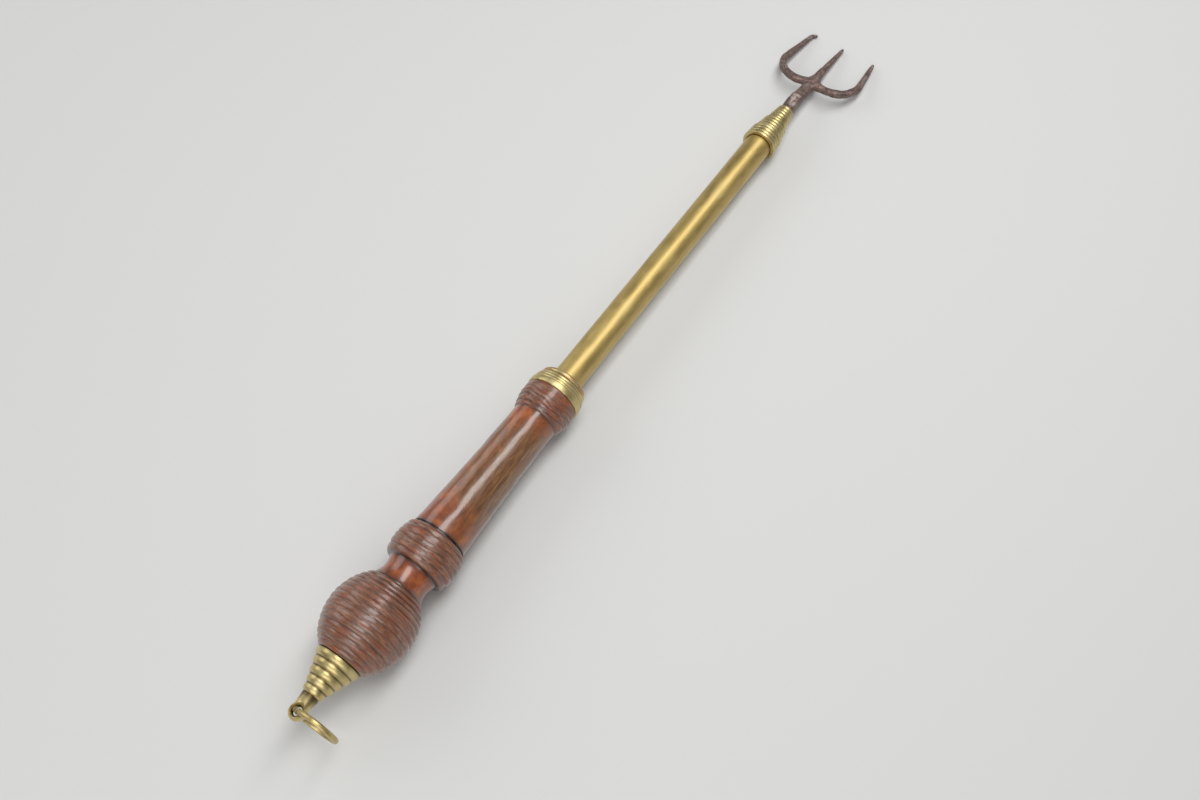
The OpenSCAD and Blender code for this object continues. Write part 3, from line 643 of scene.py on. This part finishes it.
class MakeHandle(bpy.types.Operator):
    """Turned wooden handle with its reeded ball and bands"""

    bl_idname = "fork_looks.handle"
    bl_label = "Turned handle"

    def execute(self, context):
        s = context.scene.fork_handle
        sides = 176
        rear, end = WOOD_LOW[0], WOOD_HIGH[0]
        shoulder = FERRULE_LOW[0]
        half_l, ball_r = s.ball_l / 2, s.ball_w / 2
        ball_x = rear + half_l * math.sqrt(1 - (s.seat_w / s.ball_w) ** 2)
        neck_x = ball_x + half_l * math.sqrt(1 - (s.neck_start_w / s.ball_w) ** 2)
        band_x = neck_x + s.neck_l
        groove_x = band_x + s.band_l
        grip_x = groove_x + s.groove_w
        front_x = shoulder - s.front_band_l
        turn_from = -math.acos(s.seat_w / s.ball_w)
        turn_to = math.acos(s.neck_start_w / s.ball_w)

        def ball(k):
            """Egg: x goes with the sine and r with the cosine of an angle from the finial seat to the neck."""
            a = mix(turn_from, turn_to, k)
            return ball_x + half_l * np.sin(a), ball_r * np.cos(a)

        def band(k):
            """Barrel: r falls with the square of the distance from the middle."""
            return band_x + s.band_l * k, mix(s.band_w, s.band_end_w, (2 * k - 1) ** 2) / 2

        def front(k):
            """r climbs from the grip to its full width in the first 60 % and then stays."""
            start = s.grip_front_w + 2 * s.ridge_depth
            return front_x + s.front_band_l * k, mix(s.front_band_w, start, np.maximum(0, 1 - 1.7 * k) ** 1.5) / 2

        k = np.linspace(0, 1, 26)[:, None]
        neck = neck_x + s.neck_l * k
        neck_r = mix(s.neck_w, s.neck_start_w - 2 * s.ridge_depth, ((k - 0.56) / 0.56) ** 2) / 2
        k = np.linspace(0, 1, 90)[:, None]
        grip = mix(grip_x, front_x, k)
        grip_r = mix(s.grip_front_w, s.grip_rear_w, (1 - k) ** 1.6) / 2
        depth, deep = s.ridge_depth, (1.5, 2.8, 2.6, 1.5)
        ball_rows = ridges(ball, s.ball_ridges, depth, sides, seed=3, power=2.6, uneven=0.2, sway=0.35, deep=deep)
        band_rows = ridges(band, s.band_ridges, depth, sides, seed=5, power=2.6, uneven=0.25, sway=0.4)
        front_rows = ridges(front, s.front_band_ridges, depth, sides, seed=7, power=2.4, uneven=0.3, sway=0.4)
        groove_r = s.grip_rear_w / 2 - 0.6
        bore, rod = TUBE_R + GAP, s.rod_w / 2 + GAP
        spigot = np.array([[s.spigot_w / 2], [s.spigot_w / 2], [bore]])
        flat = np.zeros((1, 1))
        # Darker at both ends of the neck and the grip, where they meet the next parts: painted shade with some dirt in
        # the corners
        neck_soot = np.exp(-(neck - neck_x) / 0.9) + np.exp(-(band_x - neck) / 0.7)
        grip_soot = 0.9 * np.exp(-(grip - grip_x) / 0.7) + 0.7 * np.exp(-(front_x - grip) / 0.5)
        middle = smooth_step(4, 20, grip - grip_x) * smooth_step(2, 14, front_x - grip)
        redness = mix(0.7, 0.1, middle) - 0.3 * np.sin(around(sides))
        # Each stretch: x, r, darkening of grooves and corners (painted shade with some dirt), redness, and 1 where it
        # is reeded
        stretches = [
            (rear + flat, rod + flat, flat, flat, 1 + flat),
            (*ball_rows, 0.3 + flat, 1 + flat),
            (neck, neck_r, neck_soot, 0.95 + flat, flat),
            (*band_rows, 0.2 + flat, 1 + flat),
            (np.array([[groove_x], [grip_x]]), groove_r + flat, 1 + flat, flat, 1 + flat),
            (grip, grip_r, grip_soot, redness, flat),
            (*front_rows, 0.2 + flat, 1 + flat),
            (np.array([[shoulder], [end], [end]]), spigot, 1 + flat, flat, 1 + flat),
            (TUBE_LOW[0] + flat, np.array([[bore], [rod]]), flat, flat, 1 + flat),
        ]
        x, r, soot, red, reeded = joined(stretches, sides)
        points = turned(x, r, sides)
        skin = (r > bore + 1) & (x < shoulder)
        dents = waves(points, 7, 20) * 0.035 + waves(points, 2.2, 21) * 0.014 * reeded
        points = turned(x, r + np.where(skin, dents, 0), sides)
        piece = make_round("turned_handle", points, 50, soot=np.clip(soot, 0, 1), redness=red)
        rows = np.repeat((reeded[:, 0] > 0) | (np.roll(reeded[:, 0], -1) > 0), sides)
        finishes = finish_named(varnished_wood), finish_named(reeded_wood)
        place(piece, "handle_assembly", "handle", "handle_wood", *finishes)
        piece.data.polygons.foreach_set("material_index", rows.astype(np.int32))
        return {"FINISHED"}


class MakeFinial(bpy.types.Operator):
    """Turned brass finial with its steps, its lug and the eye"""

    bl_idname = "fork_looks.finial"
    bl_label = "Finial"

    def execute(self, context):
        s = context.scene.fork_brass
        sides = 128
        lug_r = s.lug_w / 2
        eye_x = FINIAL_LOW[0] + lug_r
        front = FINIAL_HIGH[0]
        steps_l = s.finial_steps * s.step_l
        neck_x = WOOD_LOW[0] - steps_l
        grow = (s.finial_w - s.finial_small_w) / 2 / (s.finial_steps - 1)

        def steps(k):
            """Straight cone from the neck to the wood."""
            return neck_x + steps_l * k, (s.finial_small_w - grow) / 2 + grow * s.finial_steps * k - grow / 4

        a = np.linspace(math.pi - 0.03, math.asin(s.lug_neck_w / s.lug_w), 40)[:, None]
        fine = {"power": 2.2, "uneven": 0.04, "sway": 0.02, "rows_each": 16}
        step_x, step_r, _ = ridges(steps, s.finial_steps, s.step_l * 0.2, sides, seed=9, **fine)
        step_x = np.clip(step_x, neck_x, front)
        rod_r, rod_end = context.scene.fork_handle.rod_w / 2 + GAP, front - 9
        # Lug, steps, front face and the hole for the rod
        tail_x = np.array([[front], [front], [rod_end], [rod_end]])
        tail_r = np.array([[s.finial_w / 2 - 0.3], [rod_r], [rod_r], [0.05]])
        lug = (eye_x + lug_r * np.cos(a), lug_r * np.sin(a))
        neck = (np.array([[neck_x]]), np.array([[s.lug_neck_w / 2 + 0.5]]))
        x, r = joined([lug, neck, (step_x, step_r), (tail_x, tail_r)], sides)
        piece = make_piece("stepped_finial", *capped(turned(x, r, sides)))
        side = s.eye_w / 2 + s.eye_round_r
        z = s.eye_land / 2 + s.eye_round_r * np.sin(np.linspace(0, 1.35, 20))
        w = side - s.eye_round_r * np.cos(np.linspace(0, 1.35, 20))
        z, w = np.concatenate([-z[::-1], z]), np.concatenate([w[::-1], w])
        a = around(72)
        z, w = AXIS_Z + z[:, None] + 0 * a, w[:, None]
        hole = np.stack([eye_x + w * np.cos(a), w * np.sin(a), z], -1)
        cutter = make_piece("eye_cutter", *capped(hole))
        apply_modifier(piece, "BOOLEAN", operation="DIFFERENCE", solver="EXACT", object=cutter)
        bpy.data.objects.remove(cutter)
        co = points_of(piece)
        phase = (co[:, 0] - neck_x) / s.step_l
        across = np.abs(2 * (phase % 1) - 1)
        on_steps = (co[:, 0] > neck_x - 0.4) & (co[:, 0] < front - 0.01)
        in_eye = np.hypot(co[:, 0] - eye_x, co[:, 1]) < s.eye_w / 2 + 0.35
        # Darker towards the bottom of each step's groove and all round the eye: painted shade, with some tarnish in the
        # grooves
        add_values(piece, soot=np.where(on_steps, across**3, 0) + 0.75 * in_eye)
        smooth(piece, 40)
        place(piece, "handle_assembly", "finial", "turned_brass", finish_named(turned_brass))
        return {"FINISHED"}


class MakeRing(bpy.types.Operator):
    """Hanging ring of brass wire"""

    bl_idname = "fork_looks.ring"
    bl_label = "Hanging ring"

    def execute(self, context):
        s = context.scene.fork_brass
        middle = (RING_LOW + RING_HIGH) / 2
        wire_r = s.ring_wire / 2
        ring_r = (RING_HIGH[2] - RING_LOW[2]) / 2 - wire_r
        a = around(160)[:, None]
        b = around(28)
        # The wire is a little flattened on its outside, where it rubbed on hooks
        thick = wire_r * (1 - 0.05 * np.maximum(0, np.cos(b)) ** 6 * (1 + 0.5 * np.sin(2 * a + 1)))
        reach = ring_r + thick * np.cos(b)
        from_middle = np.stack([thick * np.sin(b), reach * np.sin(a), reach * np.cos(a)], -1)
        # The brazed joint is a dark line half a millimetre wide
        seam = np.exp(-(((a - 2.2) * ring_r / 0.25) ** 2)) + 0 * b
        piece = make_round("wire_ring", middle + from_middle, 35, soot=seam)
        place(piece, "ring", "hanging_ring", "ring_brass", finish_named(wire_brass))
        return {"FINISHED"}


class MakeFerrule(bpy.types.Operator):
    """Ribbed brass ferrule over the front end of the wood"""

    bl_idname = "fork_looks.ferrule"
    bl_label = "Ferrule"

    def execute(self, context):
        s = context.scene.fork_brass
        sides = 160
        rear, front = FERRULE_LOW[0], FERRULE_HIGH[0]
        band_r, rim_r = (FERRULE_HIGH[2] - FERRULE_LOW[2]) / 2, s.ferrule_front_w / 2
        ribs_x, rim_l = rear + s.ferrule_band_l, 2.2
        rim_x = front - rim_l

        def ribs(k):
            """r falls with the square of the way to the rim."""
            start = mix(band_r, rim_r, 0.2)
            return mix(ribs_x, rim_x, k), mix(start, rim_r + s.rib_depth, k**2)

        def rim(k):
            """Straight."""
            return rim_x + rim_l * k, rim_r + 0 * k

        fine = {"power": 2.0, "uneven": 0.1, "sway": 0.06, "rows_each": 14}
        rib_rows = ridges(ribs, s.ferrule_ribs, s.rib_depth, sides, seed=13, **fine)
        rim_rows = ridges(rim, 1, rim_l * 0.3, sides, seed=15, power=2.4, rows_each=22)
        spigot_r, tube_r = context.scene.fork_handle.spigot_w / 2 + GAP, TUBE_R + GAP
        band = np.array([[rear, spigot_r], [rear, band_r - 0.35], [rear + 0.12, band_r - 0.1], [rear + 0.4, band_r]])
        band = np.concatenate([band, [[rear + 1.2, band_r], [ribs_x - 0.35, band_r], [ribs_x - 0.1, band_r - 0.1]]])
        seat_x = front - 1.4
        # The bore at the front and the seat behind it are dark all over: painted shade
        back = np.array([[front, tube_r], [seat_x, tube_r], [seat_x, spigot_r]])
        clean, sooty = np.zeros((1, 1)), np.ones((1, 1))
        parts = [(band[:, :1], band[:, 1:], clean), rib_rows, rim_rows, (back[:, :1], back[:, 1:], sooty)]
        x, r, soot = joined(parts, sides)
        x = np.clip(x, rear, front)
        points = turned(x, r, sides)
        points = turned(x, r + np.where(r > spigot_r + 0.3, waves(points, 5, 30) * 0.02, 0), sides)
        copper = smooth_step(ribs_x + 1, front, x) * (0.8 + 0.4 * waves(points, 6, 31))
        piece = make_round("ribbed_ferrule", points, 45, soot=soot, copper=np.clip(copper, 0, 1))
        place(piece, "handle_assembly", "ferrule", "turned_brass", finish_named(turned_brass))
        return {"FINISHED"}


class MakeOuterTube(bpy.types.Operator):
    """Outer brass tube with its small dents"""

    bl_idname = "fork_looks.outer_tube"
    bl_label = "Outer tube"

    def execute(self, context):
        s = context.scene.fork_brass
        sides = 112
        low, high = TUBE_LOW[0], TUBE_HIGH[0]
        inner_r = TUBE_R - s.tube_wall
        bevel_l, bevel_r = 0.15, TUBE_R - 0.12
        shown_x = FERRULE_HIGH[0]
        shown = np.linspace(shown_x, high - bevel_l, 300)
        x = np.concatenate([[low, low + bevel_l, shown_x - 1], shown, [high, high, low]])[:, None]
        r = np.full_like(x, TUBE_R)
        r[0], r[-3], r[-2:] = bevel_r, bevel_r, inner_r
        a = around(sides)
        rng = np.random.default_rng(SEED + 40)
        # Each dent is a bell-shaped hollow with its own place, width and depth
        at_x = rng.uniform(shown_x + 3, high - 6, s.dents)
        at_a = rng.uniform(0, 2 * math.pi, s.dents)
        width = rng.uniform(0.9, 3.4, s.dents)
        depth = s.dent_depth * rng.uniform(0.2, 1.0, s.dents) ** 1.5
        away_a = (a[None, :, None] - at_a + math.pi) % (2 * math.pi) - math.pi
        away = ((x[:, :, None] - at_x) / 1.6) ** 2 + (away_a * TUBE_R) ** 2
        hollow = (depth * np.exp(-away / width**2)).sum(-1)
        points = turned(x, r, sides)
        out = (r > inner_r + 0.3) & (x > shown_x - 0.5)
        r = r - np.where(out, hollow + 0.012 * waves(points * [0.25, 1, 1], 5, 41), 0)
        points = turned(x, r, sides)
        # Painted shade with some dirt darkens the corners at the ferrule and at the lip of the nose cone
        soot = 0.8 * np.exp(-np.abs(x - shown_x) / 0.6) + np.exp(-np.maximum(0, NOSE_LOW[0] - x) / 0.35) + 0 * a
        piece = make_round("dented_tube", points, 40, soot=np.clip(soot, 0, 1))
        place(piece, "handle_assembly", "outer_tube", "tube_brass", finish_named(aged_tube))
        return {"FINISHED"}


class MakeNoseCone(bpy.types.Operator):
    """Ribbed brass nose cone in three tiers"""

    bl_idname = "fork_looks.nose_cone"
    bl_label = "Nose cone"

    def execute(self, context):
        s = context.scene.fork_brass
        sides = 144
        rear, front = NOSE_LOW[0], NOSE_HIGH[0]
        length = front - rear
        wide, narrow = (NOSE_HIGH[2] - NOSE_LOW[2]) / 2, s.nose_front_w / 2
        # Share of the length and of the taper at the rear and at the front of each tier, and its ribs
        tiers = [(0, 0.29, 0, 0.12, 4), (0.29, 0.6, 0.22, 0.52, 4), (0.6, 1, 0.64, 1, 5)]
        parts = []
        for n, (k0, k1, w0, w1, count) in enumerate(tiers):

            def tier(k):
                """Straight cone between the two ends of the tier."""
                return rear + length * mix(k0, k1, k), mix(wide, narrow, mix(w0, w1, k))

            fine = {"power": 2.2, "uneven": 0.1, "sway": 0.1, "rows_each": 12}
            # The ribs come with a darkening of their grooves: painted shade with some tarnish
            x, r, soot = ridges(tier, count, s.rib_depth, sides, seed=50 + n, **fine)
            parts.append((np.clip(x, rear + length * k0, rear + length * k1), r, soot))
        # The lip clears the tube, and the bore behind it fits the second draw and the tang
        tube_r, draw_r, tang_r = TUBE_R + 0.16, DRAW_R + GAP, context.scene.fork_iron.tang_w / 2 + GAP
        stop, seat = rear + s.nose_cover + 0.3, DRAW_HIGH[0] + GAP
        bore = [(front, tang_r), (seat, tang_r), (seat, draw_r), (stop, draw_r), (stop, tube_r), (rear + 0.4, tube_r)]
        bore = np.array(bore + [(rear, tube_r + 0.1), (rear, wide - 0.5)])
        # The bore is dark all through and the rear face of the lip partly so: painted shade
        parts.append((bore[:, :1], bore[:, 1:], np.array([[0.6, 1, 1, 1, 1, 1, 0.5, 0.1]]).T))
        x, r, soot = joined(parts, sides)
        piece = make_round("ribbed_nose", turned(x, r, sides), 45, soot=soot)
        place(piece, "second_slide", "nose_cone", "turned_brass", finish_named(turned_brass))
        return {"FINISHED"}


def swept(path, side, up, half_w, half_t, columns=28, square=3.2):
    """Bar along a path: the section is a rounded square whose two half sizes change along the path.

    A point is path + side half_w c + up half_t s, where c and s are cosine and sine raised to 2 / square, sign kept.
    """
    a = around(columns)
    c, q = (np.sign(v) * np.abs(v) ** (2 / square) for v in (np.cos(a), np.sin(a)))
    across = side[:, None] * (half_w[:, None] * c)[..., None]
    return path[:, None] + across + up[:, None] * (half_t[:, None] * q)[..., None]


class MakeFork(bpy.types.Operator):
    """Forged iron fork"""

    bl_idname = "fork_looks.fork"
    bl_label = "Forged fork"

    def execute(self, context):
        s = context.scene.fork_iron
        stem_x = NOSE_HIGH[0] + GAP
        bend = s.stem_w * 0.75
        hinge = stem_x + bend
        crotch = s.crotch_at - bend
        tip = crotch + s.prong_l
        cos_d, sin_d = math.cos(s.droop), math.sin(s.droop)

        def on_fork(d, y):
            """Place d along the bent fork and y to the left of its middle."""
            front = np.maximum(d, 0)
            x = hinge + np.minimum(d, 0) + front * cos_d
            return np.stack([x, y + 0 * d, AXIS_Z - front * sin_d], -1)

        # Stem and middle prong: distance from the bend, half width and half thickness
        half, foot, flat, thin = s.stem_w / 2, s.prong_w / 2, s.prong_t / 2, s.tip_w / 2
        end = s.stem_l - bend
        stations = np.array(
            [
                (-bend, half * 0.88, half * 0.88),
                (-bend + 1, half, half),
                (end - 0.6, half * 1.02, half),
                (end + 0.5, half * 0.99, half * 0.93),
                (end + 1.5, half * 0.92, flat * 1.45),
                (crotch - 8, half * 0.9, flat * 1.3),
                (crotch - 4.5, half * 1.05, flat * 1.16),
                (crotch - 1.5, s.crotch_w / 2 * 0.96, flat * 1.08),
                (crotch + 1.5, s.crotch_w / 2 * 0.86, flat * 1.05),
                (crotch + 5, foot * 1.35, flat * 1.04),
                (crotch + 9, foot * 1.08, flat),
                (mix(crotch, tip, 0.6), mix(foot, thin, 0.5), mix(flat, thin, 0.5)),
                (tip - 3, thin, thin),
                (tip - 0.6, thin * 0.72, thin * 0.72),
                (tip, thin * 0.35, thin * 0.35),
            ]
        )
        d = np.linspace(-bend, tip, 260)
        half_w, half_t = (np.interp(d, stations[:, 0], stations[:, i]) for i in (1, 2))
        left = np.broadcast_to([0.0, 1.0, 0.0], (len(d), 3))
        tilt = s.droop * smooth_step(-1.5, 1.5, d)[:, None]
        up = np.concatenate([np.sin(tilt), 0 * tilt, np.cos(tilt)], -1)
        bars = [capped(swept(on_fork(d, 0.0), left, up, half_w, half_t))]

        # Outer prongs: a bend from the cross bar's lean to the prong's own direction, then a straight line to the tip
        bend_y = s.spread / 2 - s.bend_r
        bend_s = crotch + s.bend_r * math.cos(s.lean) - (bend_y - s.bend_r * math.sin(s.lean)) * math.tan(s.lean)
        inward = math.asin((s.spread - s.tip_spread) / 2 / (tip - bend_s))
        heading = np.linspace(math.pi / 2 + s.lean, -inward, 40)
        arc = np.stack([bend_s - s.bend_r * np.sin(heading), bend_y + s.bend_r * np.cos(heading)], -1)
        prongs = []
        for side in (-1, 1):
            reach = tip + side * s.stagger
            if side == 1:
                bent = reach - s.bent_l * math.cos(s.bent_angle)
                far = [(bent, s.tip_spread / 2), (reach, s.tip_spread / 2 - s.bent_l * math.sin(s.bent_angle))]
            else:
                far = [(reach, s.tip_spread / 2)]
            line = np.concatenate([[(crotch, 0)], arc, far])
            run = np.concatenate([[0], np.cumsum(np.linalg.norm(np.diff(line, axis=0), axis=1))])
            t = np.linspace(0, run[-1], 240)
            flat_line = np.stack([np.interp(t, run, line[:, i]) for i in range(2)], -1)
            for _ in range(6):
                flat_line[1:-1] = (flat_line[:-2] + 2 * flat_line[1:-1] + flat_line[2:]) / 4
            way = np.gradient(flat_line, axis=0)
            way /= np.linalg.norm(way, axis=1, keepdims=True)
            across = np.stack([-way[:, 1] * cos_d, side * way[:, 0], way[:, 1] * sin_d], -1)
            # Thick at the crotch and full through the bend, then drawn out to a blunt point
            stops = [0, 6, run[-1] * 0.5, run[-1] - 4, run[-1] - 0.6, run[-1]]
            size = np.interp(t, stops, [1.4, 1.06, 1.04, 0.62, 0.44, 0.2])
            tops = np.broadcast_to([sin_d, 0.0, cos_d], (len(t), 3))
            path = on_fork(flat_line[:, 0], side * flat_line[:, 1])
            prongs.append(capped(swept(path, across, tops, foot * size, flat * size)))
        tang_d = np.array([DRAW_HIGH[0] - s.tang_l, stem_x + 1])
        tang = np.stack([tang_d, 0 * tang_d, AXIS_Z + 0 * tang_d], -1)
        tang_w = np.full(2, s.tang_w / 2)
        tang_up = np.array([[0.0, 0.0, 1.0]] * 2)
        bars += prongs + [capped(swept(tang, left[:2], tang_up, tang_w, tang_w, columns=48, square=2.0))]
        points, quads, triangles, offset = [], [], [], 0
        for bar in bars:
            bar_quads, bar_triangles = outwards(*bar)
            points.append(bar[0])
            quads.append(bar_quads + offset)
            triangles.append(bar_triangles + offset)
            offset += len(bar[0])
        piece = make_piece("forged_fork", np.concatenate(points), np.concatenate(quads), np.concatenate(triangles))
        # The remesh welds the bars into one skin, and smoothing rounds the corners of the crotch as forging does
        apply_modifier(piece, "REMESH", mode="VOXEL", voxel_size=0.26 * MM, adaptivity=0.0)
        apply_modifier(piece, "SMOOTH", factor=0.5, iterations=5)
        co = points_of(piece)
        normals = np.zeros(len(co) * 3, np.float32)
        piece.data.vertices.foreach_get("normal", normals)
        normals = normals.reshape(-1, 3)
        out = smooth_step(stem_x, stem_x + 1.5, co[:, 0])
        thick = np.clip((hinge + tip - co[:, 0]) / 30, 0.25, 1)
        marks = np.clip(waves(co, 7.5, 60), -0.4, 1.4) * s.hammer + waves(co, 2.6, 61) * s.hammer * 0.22
        co = co - normals * (marks * out * thick)[:, None]
        piece.data.vertices.foreach_set("co", (co * MM).astype(np.float32).ravel())
        piece.data.update()
        # Pale bare metal: worn in uneven patches at the tips; on top of the stem and here and there on the upper side
        # it faces up and is partly painted highlight
        x, upwards = co[:, 0] - stem_x, normals[:, 2]
        on_stem = smooth_step(1, 3, x) * (1 - smooth_step(10.8, 12.5, x)) * smooth_step(0.55, 0.95, upwards)
        tips_x = bend + tip
        at_tips = 0.5 * smooth_step(tips_x - 16, tips_x - 4, x) * np.clip(0.5 + waves(co, 3.5, 64), 0, 1)
        wear_and_highlight = 0.6 * np.clip(0.35 + 0.35 * waves(co, 9, 62), 0, 1) * smooth_step(0.2, 0.9, upwards)
        add_values(piece, worn=np.clip(on_stem * (0.75 + 0.5 * waves(co, 3, 63)) + wear_and_highlight + at_tips, 0, 1.2))
        smooth(piece, 60)
        place(piece, "second_slide", "fork", "fork_iron", finish_named(forged_iron))
        return {"FINISHED"}


class DressInnerPieces(bpy.types.Operator):
    """Finishes of the draws, bushes, collars, plug, rod and rivet, whose solids are shown as they are"""

    bl_idname = "fork_looks.inner_pieces"
    bl_label = "Inner pieces"

    def execute(self, context):
        finishes = {
            slid_tube: ("first_draw", "second_draw"),
            machined_brass: ("outer_bush", "first_bush", "first_collar", "second_collar", "tube_plug"),
            steel_rod: ("tie_rod", "fork_rivet"),
        }
        for maker, names in finishes.items():
            for name in names:
                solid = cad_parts[name]
                solid.data.materials.clear()
                solid.data.materials.append(finish_named(maker))
        return {"FINISHED"}


class MakeStage(bpy.types.Operator):
    """Pale floor, soft lamps and the camera"""

    bl_idname = "fork_looks.stage"
    bl_label = "Stage"

    def execute(self, context):
        scene = context.scene
        s = scene.fork_stage
        # The floor rises from under the ball to the tips of the prongs and is level from there on, so that it doesn't
        # hide them when the fork is drawn out. The slope fades over twice the length ease.
        ball_x, tips_x = WOOD_LOW[0] + BALL_REST, FORK_HIGH[0] - 3
        far, ease = 30000.0, 60.0
        slope = FORK_LOW[2] / (tips_x - ball_x)
        x = np.concatenate([[-far], np.linspace(tips_x - ease, tips_x + ease, 33), [far]])
        share = np.clip((x - tips_x + ease) / (2 * ease), 0, 1)
        rise = np.minimum(x, tips_x - ease) - ball_x + 2 * ease * (share - share**2 / 2)
        y = np.array([-far, far])
        grid = np.stack(np.broadcast_arrays(x[:, None], y, slope * rise[:, None] - 0.05), -1)
        row = 2 * np.arange(len(x) - 1)[:, None]
        mesh = bpy.data.meshes.new("floor")
        mesh.from_pydata((grid.reshape(-1, 3) * MM).tolist(), [], (row + [0, 2, 3, 1]).tolist())
        mesh.polygons.foreach_set("use_smooth", np.ones(len(mesh.polygons), bool))
        floor = bpy.data.objects.new("floor", mesh)
        scene.collection.objects.link(floor)
        mesh.materials.append(finish_named(matt_floor))

        world = bpy.data.worlds.new("soft_room")
        world.use_nodes = True
        back = world.node_tree.nodes["Background"]
        back.inputs["Color"].default_value = linear("#f4f4f6")
        back.inputs["Strength"].default_value = s.sky
        scene.world = world

        lamps = (
            ("key_lamp", (0.38, -0.12, 0.80), (0.38, 0.0, 0.0), (1.4, 0.3), s.key_power),
            ("left_lamp", (-0.1, 0.75, 0.5), (-0.1, 0.0, 0.0), (0.9, 0.5), s.fill_power),
            ("rear_lamp", (-0.85, -0.2, 0.55), (-0.15, 0.0, 0.02), (0.8, 0.6), s.rear_power),
        )
        for name, at, aim, size, power in lamps:
            light = bpy.data.lights.new(name, "AREA")
            light.shape = "RECTANGLE"
            light.size, light.size_y = size
            light.energy = power
            lamp = bpy.data.objects.new(name, light)
            scene.collection.objects.link(lamp)
            lamp.location = at
            lamp.rotation_euler = (Vector(aim) - Vector(at)).to_track_quat("-Z", "Y").to_euler()

        camera = bpy.data.objects.new("camera", bpy.data.cameras.new("camera"))
        scene.collection.objects.link(camera)
        camera.location = s.camera_at
        camera.rotation_euler = s.camera_turn
        camera.data.lens = s.lens
        camera.data.sensor_width = 36.0
        camera.data.clip_start = 0.01
        scene.camera = camera
        scene.view_settings.view_transform = "Standard"
        return {"FINISHED"}


class ForkPanel(bpy.types.Panel):
    """Lists the pieces in the sidebar"""

    bl_idname = "VIEW3D_PT_toasting_fork"
    bl_label = "Toasting fork"
    bl_space_type = "VIEW_3D"
    bl_region_type = "UI"
    bl_category = "Toasting fork"

    def draw(self, context):
        for maker in MAKERS:
            self.layout.operator(maker.bl_idname)


GROUPS = {
    "fork_handle": HandleSizes,
    "fork_brass": BrassSizes,
    "fork_iron": IronSizes,
    "fork_colours": FinishColours,
    "fork_stage": StageSizes,
}
MAKERS = (
    MakeHandle,
    MakeFinial,
    MakeRing,
    MakeFerrule,
    MakeOuterTube,
    MakeNoseCone,
    MakeFork,
    DressInnerPieces,
    MakeStage,
)


def register():
    for kind in (*GROUPS.values(), *MAKERS, ForkPanel):
        bpy.utils.register_class(kind)
    for name, group in GROUPS.items():
        setattr(bpy.types.Scene, name, PointerProperty(type=group))


def unregister():
    for name in GROUPS:
        delattr(bpy.types.Scene, name)
    for kind in reversed((*GROUPS.values(), *MAKERS, ForkPanel)):
        bpy.utils.unregister_class(kind)


def main():
    register()
    for maker in MAKERS:
        family, name = maker.bl_idname.split(".")
        getattr(getattr(bpy.ops, family), name)()


if __name__ == "__main__":
    main()
